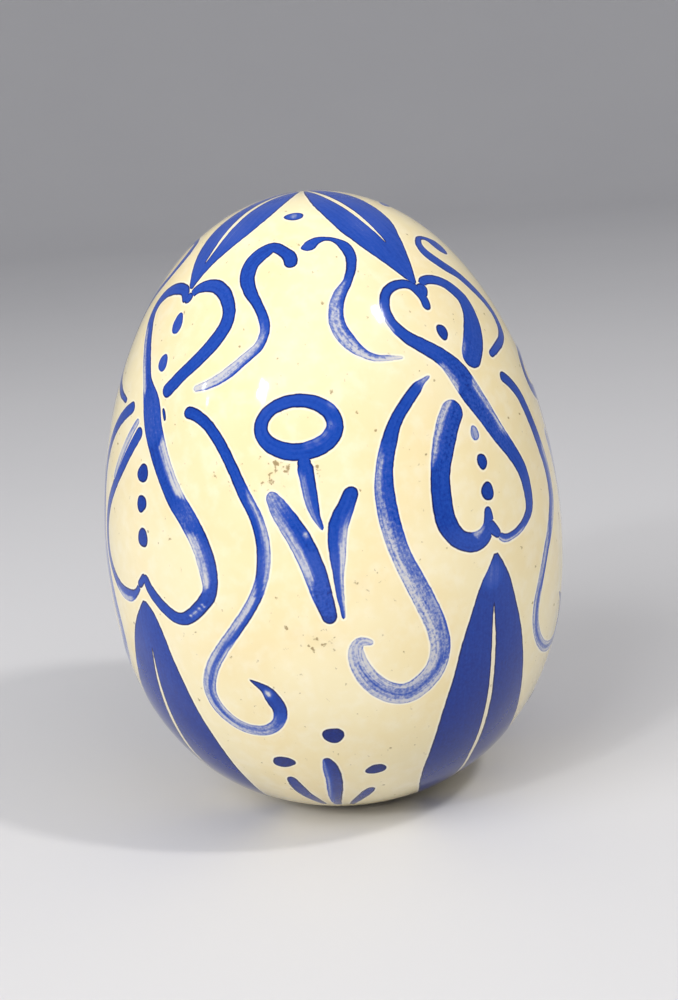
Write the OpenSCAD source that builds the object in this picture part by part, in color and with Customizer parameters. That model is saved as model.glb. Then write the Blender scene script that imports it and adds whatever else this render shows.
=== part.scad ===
// Hand-painted ceramic egg with blue folk ornament.
//
// A hollow slip-cast egg stands on a small flat foot. A cream glaze coats it down to just above
// the foot, and blue brush strokes lie on the glaze. The ornament repeats four times around the
// egg: four panels (tulip, scrolls, sprout, dots) and, between them, four columns (leaf, two
// crossed hearts, leaf). Every group of strokes is a node of its own.
//
// Frame: origin at the middle of the foot, +Z up along the egg, front panel towards -Y.
// A place on the surface is [azimuth, height]: azimuth in degrees, 0 at -Y and positive towards
// +X, and height in percent of the egg's height. A brush point adds the stroke's width in mm,
// as painted on an egg 100 mm tall.

/* [Egg] */
// Height from the foot to the crown (mm)
egg_h = 100; // [80:1:120]
// Radius at half the height of the egg curve (mm)
belly_r = 37.4; // [32:0.1:42]
// How much slimmer the crown is than the base
taper = 0.12; // [0.06:0.01:0.16]
// How full both ends are, where 0 is an ellipse
fullness = 0.10; // [0:0.01:0.14]
// Length of the egg curve that the flat foot cuts away (mm)
foot_cut = 1.5; // [1:0.1:3]

/* [Shell] */
// Thickness of the fired clay wall (mm)
wall_t = 3.5; // [2.5:0.1:5]
// Thickness of the clay under the hollow (mm)
base_t = 4; // [3:0.1:6]
// Radius of the pour hole through the foot (mm)
pour_r = 4; // [3:0.1:6]

/* [Glaze and paint] */
// Thickness of the cream glaze (mm)
glaze_t = 0.4; // [0.3:0.05:0.8]
// Height of the glaze's lower edge above the foot (mm)
glaze_edge_h = 0.5; // [0.3:0.1:2]
// Height of the paint above the glaze (mm)
paint_t = 0.15; // [0.1:0.01:0.3]
// Width of every brush stroke, compared with its usual width
brush = 1; // [0.8:0.05:1.1]

/* [Hidden] */
PANELS = ["front", "right", "back", "left"];
COLUMNS = ["front_right", "back_right", "back_left", "front_left"];
PANEL_MOTIFS = ["tulip", "upper_scroll_left", "upper_scroll_right", "long_scroll_left",
                "long_scroll_right", "sprout", "dots"];
COLUMN_MOTIFS = ["top_leaf", "upper_heart_lobe", "heart_cross_stroke", "lower_heart_lobe",
                 "bottom_leaf", "heart_dots"];

CREAM = [0.96, 0.90, 0.75];
CLAY = [0.84, 0.78, 0.69];
COBALT = [0.16, 0.29, 0.66];

half_h = (egg_h + foot_cut) / 2;   // half the height of the whole egg curve
mid_z = egg_h - half_h;            // height of that curve's middle
scale_h = egg_h / 100;             // percent of height to mm, and drawn widths to real ones
profile_steps = 48;                // straight steps from foot to crown in the turned profiles
lip_rise = 0.2;                    // the glaze's rounded edge: how much higher its outside starts
paint_sink = 0.05;                 // how far the paint has sunk into the glaze
QUARTER = 90;                      // the ornament's repeat around the egg
WOBBLE_AZ = 1.2;                   // hand variation between repeats, in degrees
WOBBLE_H = 0.6;                    // hand variation between repeats, in percent of height

// The tulip: a ring on a stem, with a leaf on each side. The ring is an ellipse of brush width.
RING = [-0.2, 68.8];               // middle of the ring
RING_AZ = 9.2;                     // half its width, in degrees
RING_H = 3.5;                      // half its height
STEM = [[0.9, 63.6, 2.4], [1.4, 61.3, 2.2], [1.9, 58.6, 2], [2.7, 56.2, 1.3], [3.9, 54.3, 0.5]];
TULIP_LEAF_LEFT = [[-7.4, 59.6, 1.8], [-5.7, 57.6, 2.8], [-3.5, 55.4, 3.3], [-1.4, 53, 3.5],
                   [0.2, 50.5, 3.5], [1.5, 47.8, 3.4], [2.4, 45.2, 3.1], [3.3, 42.8, 2.6],
                   [4, 40.8, 2.1]];
TULIP_LEAF_RIGHT = [[11.4, 59.5, 2.1], [9.6, 57.3, 2.5], [7.7, 55, 2.9], [6.9, 52.5, 2.7],
                    [6.7, 50, 2.3], [6.5, 47.5, 1.6], [6.5, 45, 1.2], [6.7, 42.8, 0.8],
                    [6.8, 41, 0.5]];

// The two short scrolls under the crown
UPPER_LEFT = [[-1.2, 90.4, 2], [-1.8, 91.6, 2.2], [-5, 92.4, 1.9], [-9.5, 93, 2.1], [-14, 92.4, 2.7],
              [-17.8, 91.1, 2.7], [-18.4, 89.3, 2.5], [-16, 87.4, 2.1], [-12.5, 85.6, 1.6],
              [-9.9, 83.7, 1.6], [-9, 82, 1.5], [-10.5, 80, 1.5], [-14.5, 78.3, 1.6], [-20, 76.2, 1.7],
              [-25, 74.9, 1.4], [-29.5, 74.2, 0.9]];
UPPER_LEFT_WIDE = [[-12, 89.2, 2.2], [-15, 90.3, 2.9], [-19, 91.5, 1.2], [-24, 91.8, 0.9], [-28.5, 91, 1.6],
                   [-29, 89.6, 2.2], [-25, 87.7, 2.2], [-20, 86, 2], [-15.8, 83.8, 2.1], [-12.2, 81.2, 2.1],
                   [-11, 79, 2.1], [-13, 76.7, 1.9], [-17, 75.5, 1.6], [-22, 74.8, 1.5], [-27.8, 74.1, 1.2]];
UPPER_RIGHT = [[3.6, 92.6, 0.8], [6.5, 92.8, 2], [10, 93.4, 1.6], [14.5, 93.6, 1], [19, 93.3, 1],
               [22.6, 92.4, 1.9], [23.6, 91, 1.8], [22, 89.3, 1.5], [19, 87.5, 1.4], [15.5, 86, 1.9],
               [13.3, 84, 2.2], [13.2, 81.8, 2.4], [15.5, 79.6, 2.3], [18.5, 78, 1.6], [22, 77, 1.1],
               [26, 76.7, 0.8], [30, 76.5, 0.4]];
UPPER_RIGHT_LONG = [[3, 92.6, 0.8], [7, 93.2, 2], [11, 93.7, 1.4], [16, 93.7, 1.2], [20.5, 93, 1.7],
                    [23, 91.5, 1.9], [21, 89, 1.6], [16, 86.8, 1.8], [11, 84, 2.1], [8, 80.5, 2.2],
                    [8, 76.5, 2.1], [11, 74.2, 1.8], [16, 73, 1.6], [22, 71.9, 1.4], [29, 71.2, 0.9]];

// The two long scrolls beside the tulip. Next to a column with wide hearts, the right one swings
// out less by this much.
BESIDE_WIDE = [3.5, 0, 0];
LONG_LEFT = [[-31.3, 71, 1.9], [-27.5, 70.5, 1.9], [-23.5, 69, 1.8], [-19.5, 66.2, 1.8],
             [-16.3, 62.8, 1.8], [-13.6, 59.4, 1.9], [-11.2, 56.5, 2], [-9.9, 53.3, 2.1],
             [-9.9, 50, 2.1], [-11, 46.8, 1.9], [-13.5, 43.6, 1.9], [-17.5, 40.1, 1.9], [-22, 36.6, 2],
             [-26, 33, 2.2], [-28, 29.5, 2.3], [-27, 26.4, 2.3], [-23.5, 23.9, 2.1], [-19, 22.8, 2],
             [-14.5, 23, 1.9], [-11.4, 24.5, 1.9], [-10.3, 26.6, 2.3], [-11.6, 28.8, 2.4],
             [-13.3, 30.4, 1.5], [-16.4, 31.7, 0.3]];
LONG_LEFT_WIDE = [[-26.8, 70.8, 1.9], [-24, 69.6, 2], [-20.5, 67, 2.2], [-18.3, 63, 2.4], [-16.3, 58.5, 2.6],
                  [-14.8, 54.5, 2.6], [-15.3, 50.5, 2.6], [-18.8, 46.8, 2.3], [-23.5, 43.3, 1.9],
                  [-27.5, 39.2, 1.8], [-30, 35.5, 1.9], [-30, 32.3, 1.9], [-27.5, 29.3, 1.8], [-23, 27, 1.8],
                  [-17, 25.8, 1.8], [-11, 26.2, 1.9], [-7.5, 28.5, 2.4], [-8.5, 31.5, 1.8],
                  [-12.5, 33.8, 0.4]];
LONG_RIGHT = [[36.3, 73.4, 0.4], [33.5, 72.7, 1], [31.5, 72, 1.7], [28, 70.4, 1.9], [24, 68, 2],
              [21.3, 65, 2.4], [19.4, 61.7, 2.6], [18.7, 58, 3], [19.3, 53.5, 3.1], [20.8, 49.3, 3],
              [23.2, 45.3, 3.2], [25.5, 41.7, 3.3], [27.6, 38, 3.3], [28.6, 34.5, 3.3],
              [27.5, 31.3, 3.4], [24.3, 29, 3.5], [20, 27.8, 3.5], [15.5, 28.6, 3.3],
              [11.7, 30.8, 3.1], [9.4, 33.6, 2.8], [8.9, 36, 2.2], [10.3, 37.2, 1.5],
              [12.6, 36.8, 0.8]];
LONG_RIGHT_BLUNT = concat([[35.3, 70.8, 1.9], [31, 69.6, 2.1], [26.3, 67.8, 2.1], [22, 65.3, 2.1],
                           [18.7, 62, 2.2], [17.3, 58, 2.4], [17.8, 53.5, 2.5]],
                          [for (i = [9:22]) LONG_RIGHT[i] - BESIDE_WIDE]);
LONG_RIGHT_CLOSE = concat([for (i = [0:8]) LONG_RIGHT[i]],
                          [for (i = [9:22]) LONG_RIGHT[i] - BESIDE_WIDE]);

// The sprout: three strokes that rise from the foot. Its dots, one near the crown, are dabs:
// [azimuth, height, half width in mm, half height in mm]
SPROUT = [[[-1.1, 17.3, 1.2], [-0.5, 15.5, 2.4], [-0.2, 12.5, 2.6], [-0.9, 9.5, 2.4], [-2, 6.5, 1.8],
           [-2.3, 4.4, 1]],
          [[-13.3, 13, 1.4], [-12.9, 11, 2.2], [-11.8, 8.7, 2.1], [-9.8, 6.6, 1.6], [-8, 4.8, 0.8]],
          [[11.4, 9.6, 1.2], [10, 8.6, 1.9], [7.6, 7, 1.7], [5, 5.4, 1.2], [3.6, 4.2, 0.7]]];
PANEL_DOTS = [[-1.5, 96.9, 1.6, 1], [1.7, 21.9, 1.55, 1.6], [-13.2, 16.6, 1.9, 1.25],
              [12.3, 14.2, 1.65, 1.2]];

// The hearts of a column. Azimuths count from the column's middle. The long cross stroke paints
// the left side of the upper heart, crosses over and paints the right side of the lower heart.
CROSS_A = [[-0.8, 82.4, 1.4], [-0.6, 84.3, 1.8], [-3, 85.9, 1.7], [-8, 86.3, 1.6], [-13, 85.6, 1.6],
           [-15.6, 83.8, 1.6], [-15.3, 81.5, 1.7], [-12, 79.2, 2.1], [-7, 77.3, 2.5],
           [-2.2, 75.3, 3], [1, 72.8, 4.1], [3.2, 69.9, 4.3], [6, 66.6, 3.8], [8.8, 63.2, 3.3],
           [12, 60.2, 2.9], [14.8, 57, 2.7], [15.6, 53.8, 2.5], [15, 51, 2.1], [12, 49.2, 1.5],
           [8, 48.2, 1.3], [4, 48, 1.3], [2, 48.8, 1.2]];
UPPER_LOBE_A = [[1.6, 85.6, 1.3], [4, 86.2, 1.6], [9, 86, 1.8], [14, 84.9, 2.2], [17.6, 82.6, 2.9],
                [16.6, 80, 3.6], [13.4, 77.6, 4.3], [9.6, 75.4, 4.2], [6.8, 74, 3.8]];
LOWER_LOBE_A = [[-3.4, 68.6, 3.8], [-6.6, 66.6, 3.9], [-9.6, 63.5, 3.8], [-11.9, 59.8, 3.3],
                [-12.7, 56, 3.4], [-12.3, 52.6, 3.4], [-9.8, 50, 3], [-6, 48.9, 3], [-2.8, 49.3, 2.8],
                [-0.8, 50.8, 2.2], [-0.5, 53.2, 1.4]];
HEART_DOTS_A = [[0.8, 78.9, 0.95, 1.4], [0.5, 64.2, 0.75, 1.2], [0.7, 60, 0.95, 1.3], [0.5, 55.6, 1.2, 1.5]];
CROSS_B = [[1.4, 86.1, 1.5], [-2, 87.4, 1.9], [-8, 87.6, 2.2], [-14, 87, 2.2], [-18, 85.6, 2.2],
           [-18.2, 83.6, 2.2], [-14, 80.9, 2.3], [-9.2, 77.8, 2.3], [-5, 74.6, 2.4], [-0.6, 71.5, 4.2],
           [1.8, 68.6, 4.2], [4.8, 65.6, 3.9], [8.2, 62.3, 3.6], [12, 58.8, 3.5], [16.2, 55.6, 3.4],
           [19.4, 52.3, 3.3], [21.2, 48.5, 3.2], [21.2, 45.2, 2.5], [18, 42.6, 2.3], [14, 40.8, 2.1],
           [10.5, 40.6, 2], [6.5, 41.9, 2], [2.6, 44, 1.9], [0.6, 46, 1.5]];
UPPER_LOBE_B = [[3, 86.9, 1.5], [5.6, 87.8, 1.9], [10, 88.2, 2.2], [15, 88, 2.3], [19.5, 86.9, 2.3],
                [22.5, 85, 2.2], [22.5, 83, 2.3], [19.8, 80.8, 2.4], [15.2, 78.4, 2.3], [9.8, 76, 2.2],
                [4.6, 73.4, 2.4]];
LOWER_LOBE_B = [[-3.4, 67.6, 2], [-7, 65.1, 2.1], [-11.2, 61.9, 2.1], [-15.6, 58.6, 2], [-19.8, 55, 2],
                [-21.8, 51.5, 1.8], [-21.4, 47.8, 1.8], [-18, 44.6, 1.8], [-13, 42.5, 2.2],
                [-8, 42, 2.2], [-4, 42.9, 1.2], [-2, 44.3, 0.9]];
HEART_DOTS_B = [[1.8, 83, 1.05, 1.8], [0.6, 77.5, 1, 1.45], [-0.2, 61.6, 1.4, 1.5], [0, 57.1, 1.2, 1.4],
                [0.6, 52, 1.2, 1.6]];

// A bottom leaf, as rows of [height, left edge, midrib, right edge, width of bare glaze along the
// midrib in mm]. Rows that are closed in the painting keep a hairline between the two halves.
BOTTOM_LEAF_A = [[46.3, -0.4, 0.2, 0.9, 0], [44.3, -2.6, 0.1, 2.7, 0], [42, -5.3, -0.4, 4.3, 0],
                 [38.2, -8.1, -1.4, 6, 0.2], [33.5, -11, -1.4, 8.2, 0.75], [28.5, -13, -1.2, 10.2, 0.85],
                 [24, -15, -0.8, 12.2, 0.9], [19.5, -16.3, -0.4, 14.8, 0.9], [15, -17.2, 0.2, 18.5, 0.85],
                 [11.5, -17.4, 1, 22, 0.75], [8.3, -16, 3.1, 21, 0.65], [5.8, -13, 5, 18, 0.4],
                 [3.8, -9, 5, 14, 0.2], [2.4, -4, 3.5, 9, 0.1], [1.6, 0, 2.1, 4.5, 0.1]];
BOTTOM_LEAF_B = [[42, -1.2, -0.5, 0.1, 0], [40.3, -3.6, -0.6, 3, 0], [37.2, -7.2, -0.8, 5.3, 0],
                 [33.5, -10.3, -1, 7.1, 0.2], [28.5, -14.2, -2.2, 9.3, 0.65], [24, -18.5, -3.2, 11, 0.9],
                 [19, -22, -4.4, 13, 1], [14, -23, -6.1, 14.1, 1], [10, -21.8, -7.2, 14.2, 0.9],
                 [6.5, -18.5, -6.8, 12, 0.8], [4.2, -13.5, -5.6, 8.5, 0.5], [2.6, -8.5, -3.9, 4, 0.2],
                 [1.6, -4.5, -2.4, 0, 0.1]];

// A top leaf seen from above, as rows of [distance from the pole, left edge, midrib, right edge,
// bare width], all in mm, the last four across the leaf's own line.
TOP_LEAF_A = [[1, -0.6, -0.1, 0.6, 0.4], [3, -2.1, -0.6, 2, 0.6], [6, -3.8, -0.9, 3.4, 0.8],
              [9.5, -5.2, -1, 4.3, 0.9], [15, -5.8, -0.7, 4.5, 0.8], [18.5, -4.9, -0.3, 3.3, 0.3],
              [20.5, -3.9, -0.2, 2.5, 0], [22.8, -2.3, -0.1, 1.5, 0], [25, -0.4, 0, 0.4, 0]];
TOP_LEAF_B = [[1, -0.6, -0.1, 0.6, 0.4], [3, -2, -0.4, 2, 0.6], [6.2, -3.5, -0.7, 3.7, 0.8],
              [10.5, -4.4, -0.7, 4.9, 1], [14.6, -4.6, -0.3, 4.8, 0.9], [18.2, -3.8, 0.1, 3.4, 0.6],
              [20.2, -2.9, 0.1, 2.2, 0.2], [22, -1.7, 0, 1.2, 0], [23.6, -0.4, 0, 0.4, 0]];
TOP_LEAF_TURN = [-1, 1];           // how far leaf A and leaf B point away from the column's middle

// ---------------------------------------------------------------- the egg's curve
function curve_s(z) = (z - mid_z) / half_h;
function egg_r(z) = let (s = curve_s(z))
    belly_r * sqrt(max(0, 1 - s * s)) * (1 - taper * s + fullness * s * s);
function egg_slope(z) = let (s = curve_s(z), c = sqrt(max(0.0001, 1 - s * s)))
    belly_r / half_h * (-s / c * (1 - taper * s + fullness * s * s) + c * (2 * fullness * s - taper));
function unit(v) = v / norm(v);
function egg_normal(az, z) = unit([sin(az), -cos(az), -egg_slope(z)]);
function on_egg(az, z, lift = 0) =
    [egg_r(z) * sin(az), -egg_r(z) * cos(az), z] + lift * egg_normal(az, z);
// Height of the crown's surface at a distance from the axis, by repeated substitution
function crown_z(r, s = 0.95, turns = 12) = turns == 0 ? mid_z + half_h * s
    : crown_z(r, sqrt(max(0, 1 - pow(r / belly_r / (1 - taper * s + fullness * s * s), 2))), turns - 1);

// Profile of the egg moved inwards by an inset, from a lowest height up to the crown
function inset_profile(inset, low) = let (
    first = asin(curve_s(low)),
    turns = [for (i = [0:profile_steps]) first + (89.5 - first) * i / profile_steps],
    heights = [for (t = turns) mid_z + half_h * sin(t)])
    concat([for (z = heights) let (n = unit([1, -egg_slope(z)])) [egg_r(z) - inset * n[0], z - inset * n[1]]],
           [[0, egg_h - inset]]);
function reversed(list) = [for (i = [len(list) - 1:-1:0]) list[i]];

// ---------------------------------------------------------------- body of the egg
module ceramic_shell() {
    outer = inset_profile(glaze_t, glaze_edge_h);
    hollow = [for (p = inset_profile(glaze_t + wall_t, base_t)) if (p[1] > base_t) p];
    foot_r = egg_r(0) - glaze_t;
    color(CLAY) rotate_extrude($fn = 96)
        polygon(concat([[pour_r, 0], [foot_r, 0]], outer, reversed(hollow),
                       [[hollow[0][0] - 1, base_t], [pour_r, base_t]]));
}

module glaze_coat() {
    color(CREAM) rotate_extrude($fn = 96)
        polygon(concat(inset_profile(0, glaze_edge_h + lip_rise),
                       reversed(inset_profile(glaze_t, glaze_edge_h))));
}

// ---------------------------------------------------------------- brush strokes
// One point of a smooth curve through four control points
function smooth(a, b, c, d, t) = 0.5 * (2 * b + (c - a) * t + (2 * a - 5 * b + 4 * c - d) * t * t
                                        + (3 * b - a - 3 * c + d) * t * t * t);
function curve_through(p, steps) = let (last = len(p) - 1) concat(
    [for (i = [0:last - 1]) for (k = [0:steps - 1])
        smooth(p[max(0, i - 1)], p[i], p[i + 1], p[min(last, i + 2)], k / steps)], [p[last]]);

function spot(p) = on_egg(p[0], p[1] * scale_h);
// The surface place nearest to a point in space
function lay(q, lift) = on_egg(atan2(q[0], -q[1]), min(q[2], egg_h - 0.01), lift);

// Stations across a stroke: each is a row of places from its left edge to its right edge
function stroke_rows(path, across, closed) = let (n = len(path)) [for (i = [0:n - 1]) let (
    here = spot(path[i]),
    before = spot(path[closed ? (i + n - 1) % n : max(0, i - 1)]),
    after = spot(path[closed ? (i + 1) % n : min(n - 1, i + 1)]),
    side = unit(cross(after - before, egg_normal(path[i][0], path[i][1] * scale_h))),
    round_end = !closed && (i == 0 || i == n - 1) ? 0.5 : 1,
    half = max(0.12, path[i][2] * scale_h * brush * round_end / 2))
    [for (j = [0:across - 1]) here + side * half * (2 * j / (across - 1) - 1)]];

// A thin closed solid on the egg under rows of places
module paint(rows, closed = false) {
    n = len(rows);
    m = len(rows[0]);
    flat = [for (row = rows) for (q = row) q];
    points = concat([for (q = flat) lay(q, paint_t)], [for (q = flat) lay(q, -paint_sink)]);
    under = n * m;
    spans = closed ? n - 1 : n - 2;
    function at(i, j) = (i % n) * m + j;
    top = [for (i = [0:spans]) for (j = [0:m - 2]) each
        [[at(i, j), at(i, j + 1), at(i + 1, j + 1)], [at(i, j), at(i + 1, j + 1), at(i + 1, j)]]];
    bottom = [for (f = top) [f[2] + under, f[1] + under, f[0] + under]];
    sides = [for (i = [0:spans]) each [
        [at(i, 0), at(i + 1, 0), at(i + 1, 0) + under], [at(i, 0), at(i + 1, 0) + under, at(i, 0) + under],
        [at(i + 1, m - 1), at(i, m - 1), at(i, m - 1) + under],
        [at(i + 1, m - 1), at(i, m - 1) + under, at(i + 1, m - 1) + under]]];
    ends = closed ? [] : [for (j = [0:m - 2]) each [
        [at(0, j + 1), at(0, j), at(0, j) + under], [at(0, j + 1), at(0, j) + under, at(0, j + 1) + under],
        [at(n - 1, j), at(n - 1, j + 1), at(n - 1, j + 1) + under],
        [at(n - 1, j), at(n - 1, j + 1) + under, at(n - 1, j) + under]]];
    color(COBALT) polyhedron(points, concat(top, bottom, sides, ends));
}

// A drawn point moved to its place around the egg. Copies away from the front vary a little, as
// painting by hand does.
function place(p, centre_az, copy, i) = let (amount = copy == 0 ? 0 : 1, phase = 25 * i + 97 * copy)
    concat([p[0] + centre_az + amount * WOBBLE_AZ * sin(phase), p[1] + amount * WOBBLE_H * cos(phase)],
           [for (k = [2:1:len(p) - 1]) p[k]]);
function place_all(points, centre_az, copy) =
    [for (i = [0:len(points) - 1]) place(points[i], centre_az, copy, i)];

module stroke(points, centre_az, copy, across = 2) {
    paint(stroke_rows(curve_through(place_all(points, centre_az, copy), 2), across, false));
}

// An elliptical dab of paint
module dab(drawn, centre_az, copy, i) {
    d = place(drawn, centre_az, copy, i);
    up = egg_normal(d[0], d[1] * scale_h);
    east = [cos(d[0]), sin(d[0]), 0];
    north = cross(up, east);
    steps = 6;
    paint([for (k = [0:steps]) let (a = 180 * k / steps, half = max(0.2, d[3] * scale_h * sin(a)))
        [for (side = [1, 0, -1]) spot(d) - east * d[2] * scale_h * cos(a) + north * half * side]]);
}

// ---------------------------------------------------------------- panels
module tulip(az, copy) {
    c = place(RING, az, copy, 0);
    steps = 28;
    ring = [for (k = [0:steps - 1]) let (a = 360 * k / steps)
        [c[0] + RING_AZ * cos(a), c[1] + RING_H * sin(a), 2.3 - 0.3 * sin(a) + 0.2 * cos(a)]];
    paint(stroke_rows(ring, 2, true), closed = true);
    stroke(STEM, az, copy);
    stroke(TULIP_LEAF_LEFT, az, copy, 3);
    stroke(TULIP_LEAF_RIGHT, az, copy);
}
module upper_scroll_left(az, copy) stroke(copy == 1 ? UPPER_LEFT_WIDE : UPPER_LEFT, az, hand(copy));
module upper_scroll_right(az, copy) stroke(copy == 3 ? UPPER_RIGHT_LONG : UPPER_RIGHT, az, hand(copy));
module long_scroll_left(az, copy) stroke(copy == 1 ? LONG_LEFT_WIDE : LONG_LEFT, az, hand(copy));
module long_scroll_right(az, copy) stroke(copy == 3 ? LONG_RIGHT_BLUNT
    : copy == 1 ? LONG_RIGHT_CLOSE : LONG_RIGHT, az, hand(copy));
module sprout(az, copy) for (line = SPROUT) stroke(line, az, copy);
module dots(az, copy) for (i = [0:len(PANEL_DOTS) - 1]) dab(PANEL_DOTS[i], az, copy, i);
// The scrolls' own variants stand in for the hand variation, except on the back panel
function hand(copy) = copy == 2 ? 2 : 0;

module panel_motif(motif, copy) {
    az = QUARTER * copy;
    if (motif == "tulip") tulip(az, copy);
    if (motif == "upper_scroll_left") upper_scroll_left(az, copy);
    if (motif == "upper_scroll_right") upper_scroll_right(az, copy);
    if (motif == "long_scroll_left") long_scroll_left(az, copy);
    if (motif == "long_scroll_right") long_scroll_right(az, copy);
    if (motif == "sprout") sprout(az, copy);
    if (motif == "dots") dots(az, copy);
}

// ---------------------------------------------------------------- columns
HAIRLINE = 0.15;                   // the least bare width along a midrib
// One half of a leaf, side -1 for its left and 1 for its right: for each row its distance along,
// and places from the outline to the midrib. One mm across is mm_across of the leaf's own units.
function half_leaf(leaf, side, across, mm_across) = [for (row = curve_through(leaf, 2)) let (
    outline = row[2 + side],
    rib = row[2] + side * max(HAIRLINE, row[4]) / 2 * mm_across(row[0]))
    [for (j = [0:across - 1]) [row[0], side < 0 ? outline + (rib - outline) * j / (across - 1)
                                                : rib + (outline - rib) * j / (across - 1)]]];

module bottom_leaf(leaf, az, across = 4) {
    degrees_per_mm = function (h) 180 / PI / egg_r(h * scale_h);
    for (side = [-1, 1])
        paint([for (row = half_leaf(leaf, side, across, degrees_per_mm))
            [for (q = row) spot([az + q[1], q[0]])]]);
}

module top_leaf(leaf, az, across = 4) {
    for (side = [-1, 1])
        paint([for (row = half_leaf(leaf, side, across, function (out) 1))
            [for (j = [across - 1:-1:0]) let (
                q = row[j],
                r = min(norm(q), 26) * belly_r / 37.4,
                turn = az + atan2(q[1], q[0]))
                on_egg(turn, crown_z(r))]]);
}

module column_motif(motif, column) {
    az = QUARTER * (column + 0.5);
    copy = column == 0 || column == 3 ? 0 : column;
    a = column % 2 == 0;
    if (motif == "top_leaf") top_leaf(a ? TOP_LEAF_A : TOP_LEAF_B, az + TOP_LEAF_TURN[a ? 0 : 1]);
    if (motif == "upper_heart_lobe") stroke(a ? UPPER_LOBE_A : UPPER_LOBE_B, az, copy);
    if (motif == "heart_cross_stroke") stroke(a ? CROSS_A : CROSS_B, az, copy);
    if (motif == "lower_heart_lobe") stroke(a ? LOWER_LOBE_A : LOWER_LOBE_B, az, copy);
    if (motif == "bottom_leaf") bottom_leaf(a ? BOTTOM_LEAF_A : BOTTOM_LEAF_B, az);
    if (motif == "heart_dots") {
        drawn = a ? HEART_DOTS_A : HEART_DOTS_B;
        for (i = [0:len(drawn) - 1]) dab(drawn[i], az, copy, i);
    }
}

ceramic_shell();
glaze_coat();
for (i = [0:3]) for (m = PANEL_MOTIFS)
    panel_motif(m, i);
for (i = [0:3]) for (m = COLUMN_MOTIFS)
    column_motif(m, i);
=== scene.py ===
"""The looks of a hand-painted ceramic egg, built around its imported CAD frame.

Places on the egg are written as in the CAD model: azimuth in degrees (0 at -Y, positive towards
+X) and height in percent of the egg's height. Widths and lifts are millimetres on the egg itself.
"""
import math

import bpy
import numpy as np
from mathutils import Matrix, Vector


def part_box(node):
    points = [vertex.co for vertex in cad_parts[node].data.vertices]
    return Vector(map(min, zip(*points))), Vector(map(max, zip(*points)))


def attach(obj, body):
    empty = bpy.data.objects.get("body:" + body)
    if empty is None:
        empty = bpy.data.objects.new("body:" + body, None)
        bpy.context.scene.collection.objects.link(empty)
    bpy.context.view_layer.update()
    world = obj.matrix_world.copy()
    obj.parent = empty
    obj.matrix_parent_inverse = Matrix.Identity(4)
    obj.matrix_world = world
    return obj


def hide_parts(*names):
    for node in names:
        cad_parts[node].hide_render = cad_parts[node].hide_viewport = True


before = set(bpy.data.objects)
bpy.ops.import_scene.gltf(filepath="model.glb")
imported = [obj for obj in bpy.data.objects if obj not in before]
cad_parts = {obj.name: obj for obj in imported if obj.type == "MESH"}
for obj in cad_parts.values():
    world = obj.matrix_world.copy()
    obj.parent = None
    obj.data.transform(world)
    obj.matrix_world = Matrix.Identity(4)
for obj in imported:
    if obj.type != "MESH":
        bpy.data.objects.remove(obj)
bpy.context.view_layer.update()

MM = 0.001

# ------------------------------------------------------------------ the egg's curve, as in CAD
TAPER = 0.12                # how much slimmer the crown is than the base
FULLNESS = 0.10             # how full both ends are
FOOT_CUT = 1.5              # length of the egg curve that the flat foot cuts away
BELLY_TO_WIDEST = 1.0087    # the widest radius over the radius at half height
EGG_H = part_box("glaze_coat")[1][2] / MM
BELLY_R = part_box("glaze_coat")[1][0] / MM / BELLY_TO_WIDEST
HALF_H = (EGG_H + FOOT_CUT) / 2
MID_Z = EGG_H - HALF_H
PERCENT = EGG_H / 100       # percent of height to millimetres, and drawn widths to real ones
GLAZE_EDGE_H = 0.5          # where the glaze ends above the foot
GLAZE_T = 0.4
WALL_T = 3.5
BASE_T = 4.0
POUR_R = 4.0


def belly(s):
    """The egg's fullness at s, from -1 at the low end of its curve to 1 at the crown."""
    return 1 - TAPER * s + FULLNESS * s * s


def egg_radius(z):
    s = (z - MID_Z) / HALF_H
    return BELLY_R * np.sqrt(np.maximum(0, 1 - s * s)) * belly(s)


def plain_egg(az, z):
    """Points and outward normals of the egg before any unevenness."""
    az, z = np.broadcast_arrays(np.asarray(az, float), np.asarray(z, float))
    a = np.radians(az)
    r = egg_radius(z)
    s = np.clip((z - MID_Z) / HALF_H, -1, 1)
    c = np.sqrt(1 - s * s)
    out = HALF_H * c
    up = BELLY_R * (s * belly(s) + c * c * (TAPER - 2 * FULLNESS * s))
    length = np.hypot(out, up)
    point = np.stack([r * np.sin(a), -r * np.cos(a), z], -1)
    normal = np.stack([np.sin(a) * out, -np.cos(a) * out, up], -1) / length[..., None]
    return point, normal


# Unevenness of a hand-finished casting under thick glaze: wave directions in radians per mm,
# phases and heights in mm
SWELLS = [((0.16, 0.05, 0.11), 0.4, 0.030), ((-0.09, 0.17, 0.14), 1.9, 0.026),
          ((0.07, -0.15, 0.21), 3.1, 0.018), ((0.31, 0.12, -0.17), 5.0, 0.007),
          ((-0.22, 0.28, 0.19), 0.9, 0.006)]


def swell(point):
    """The unevenness at points in space, and how steeply it changes."""
    height = np.zeros(point.shape[:-1])
    slope = np.zeros(point.shape)
    for wave, phase, amount in SWELLS:
        turn = point @ np.array(wave) + phase
        height += amount * np.sin(turn)
        slope += (amount * np.cos(turn))[..., None] * np.array(wave)
    return height, slope


def on_egg(az, z, lift=0.0):
    """Points on the glazed surface, lifted along its normal, and the surface's own normals."""
    point, normal = plain_egg(az, z)
    height, slope = swell(point)
    along = (slope * normal).sum(-1)[..., None] * normal
    bent = normal - (slope - along)
    bent /= np.linalg.norm(bent, axis=-1)[..., None]
    return point + normal * (height + lift)[..., None], bent


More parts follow.
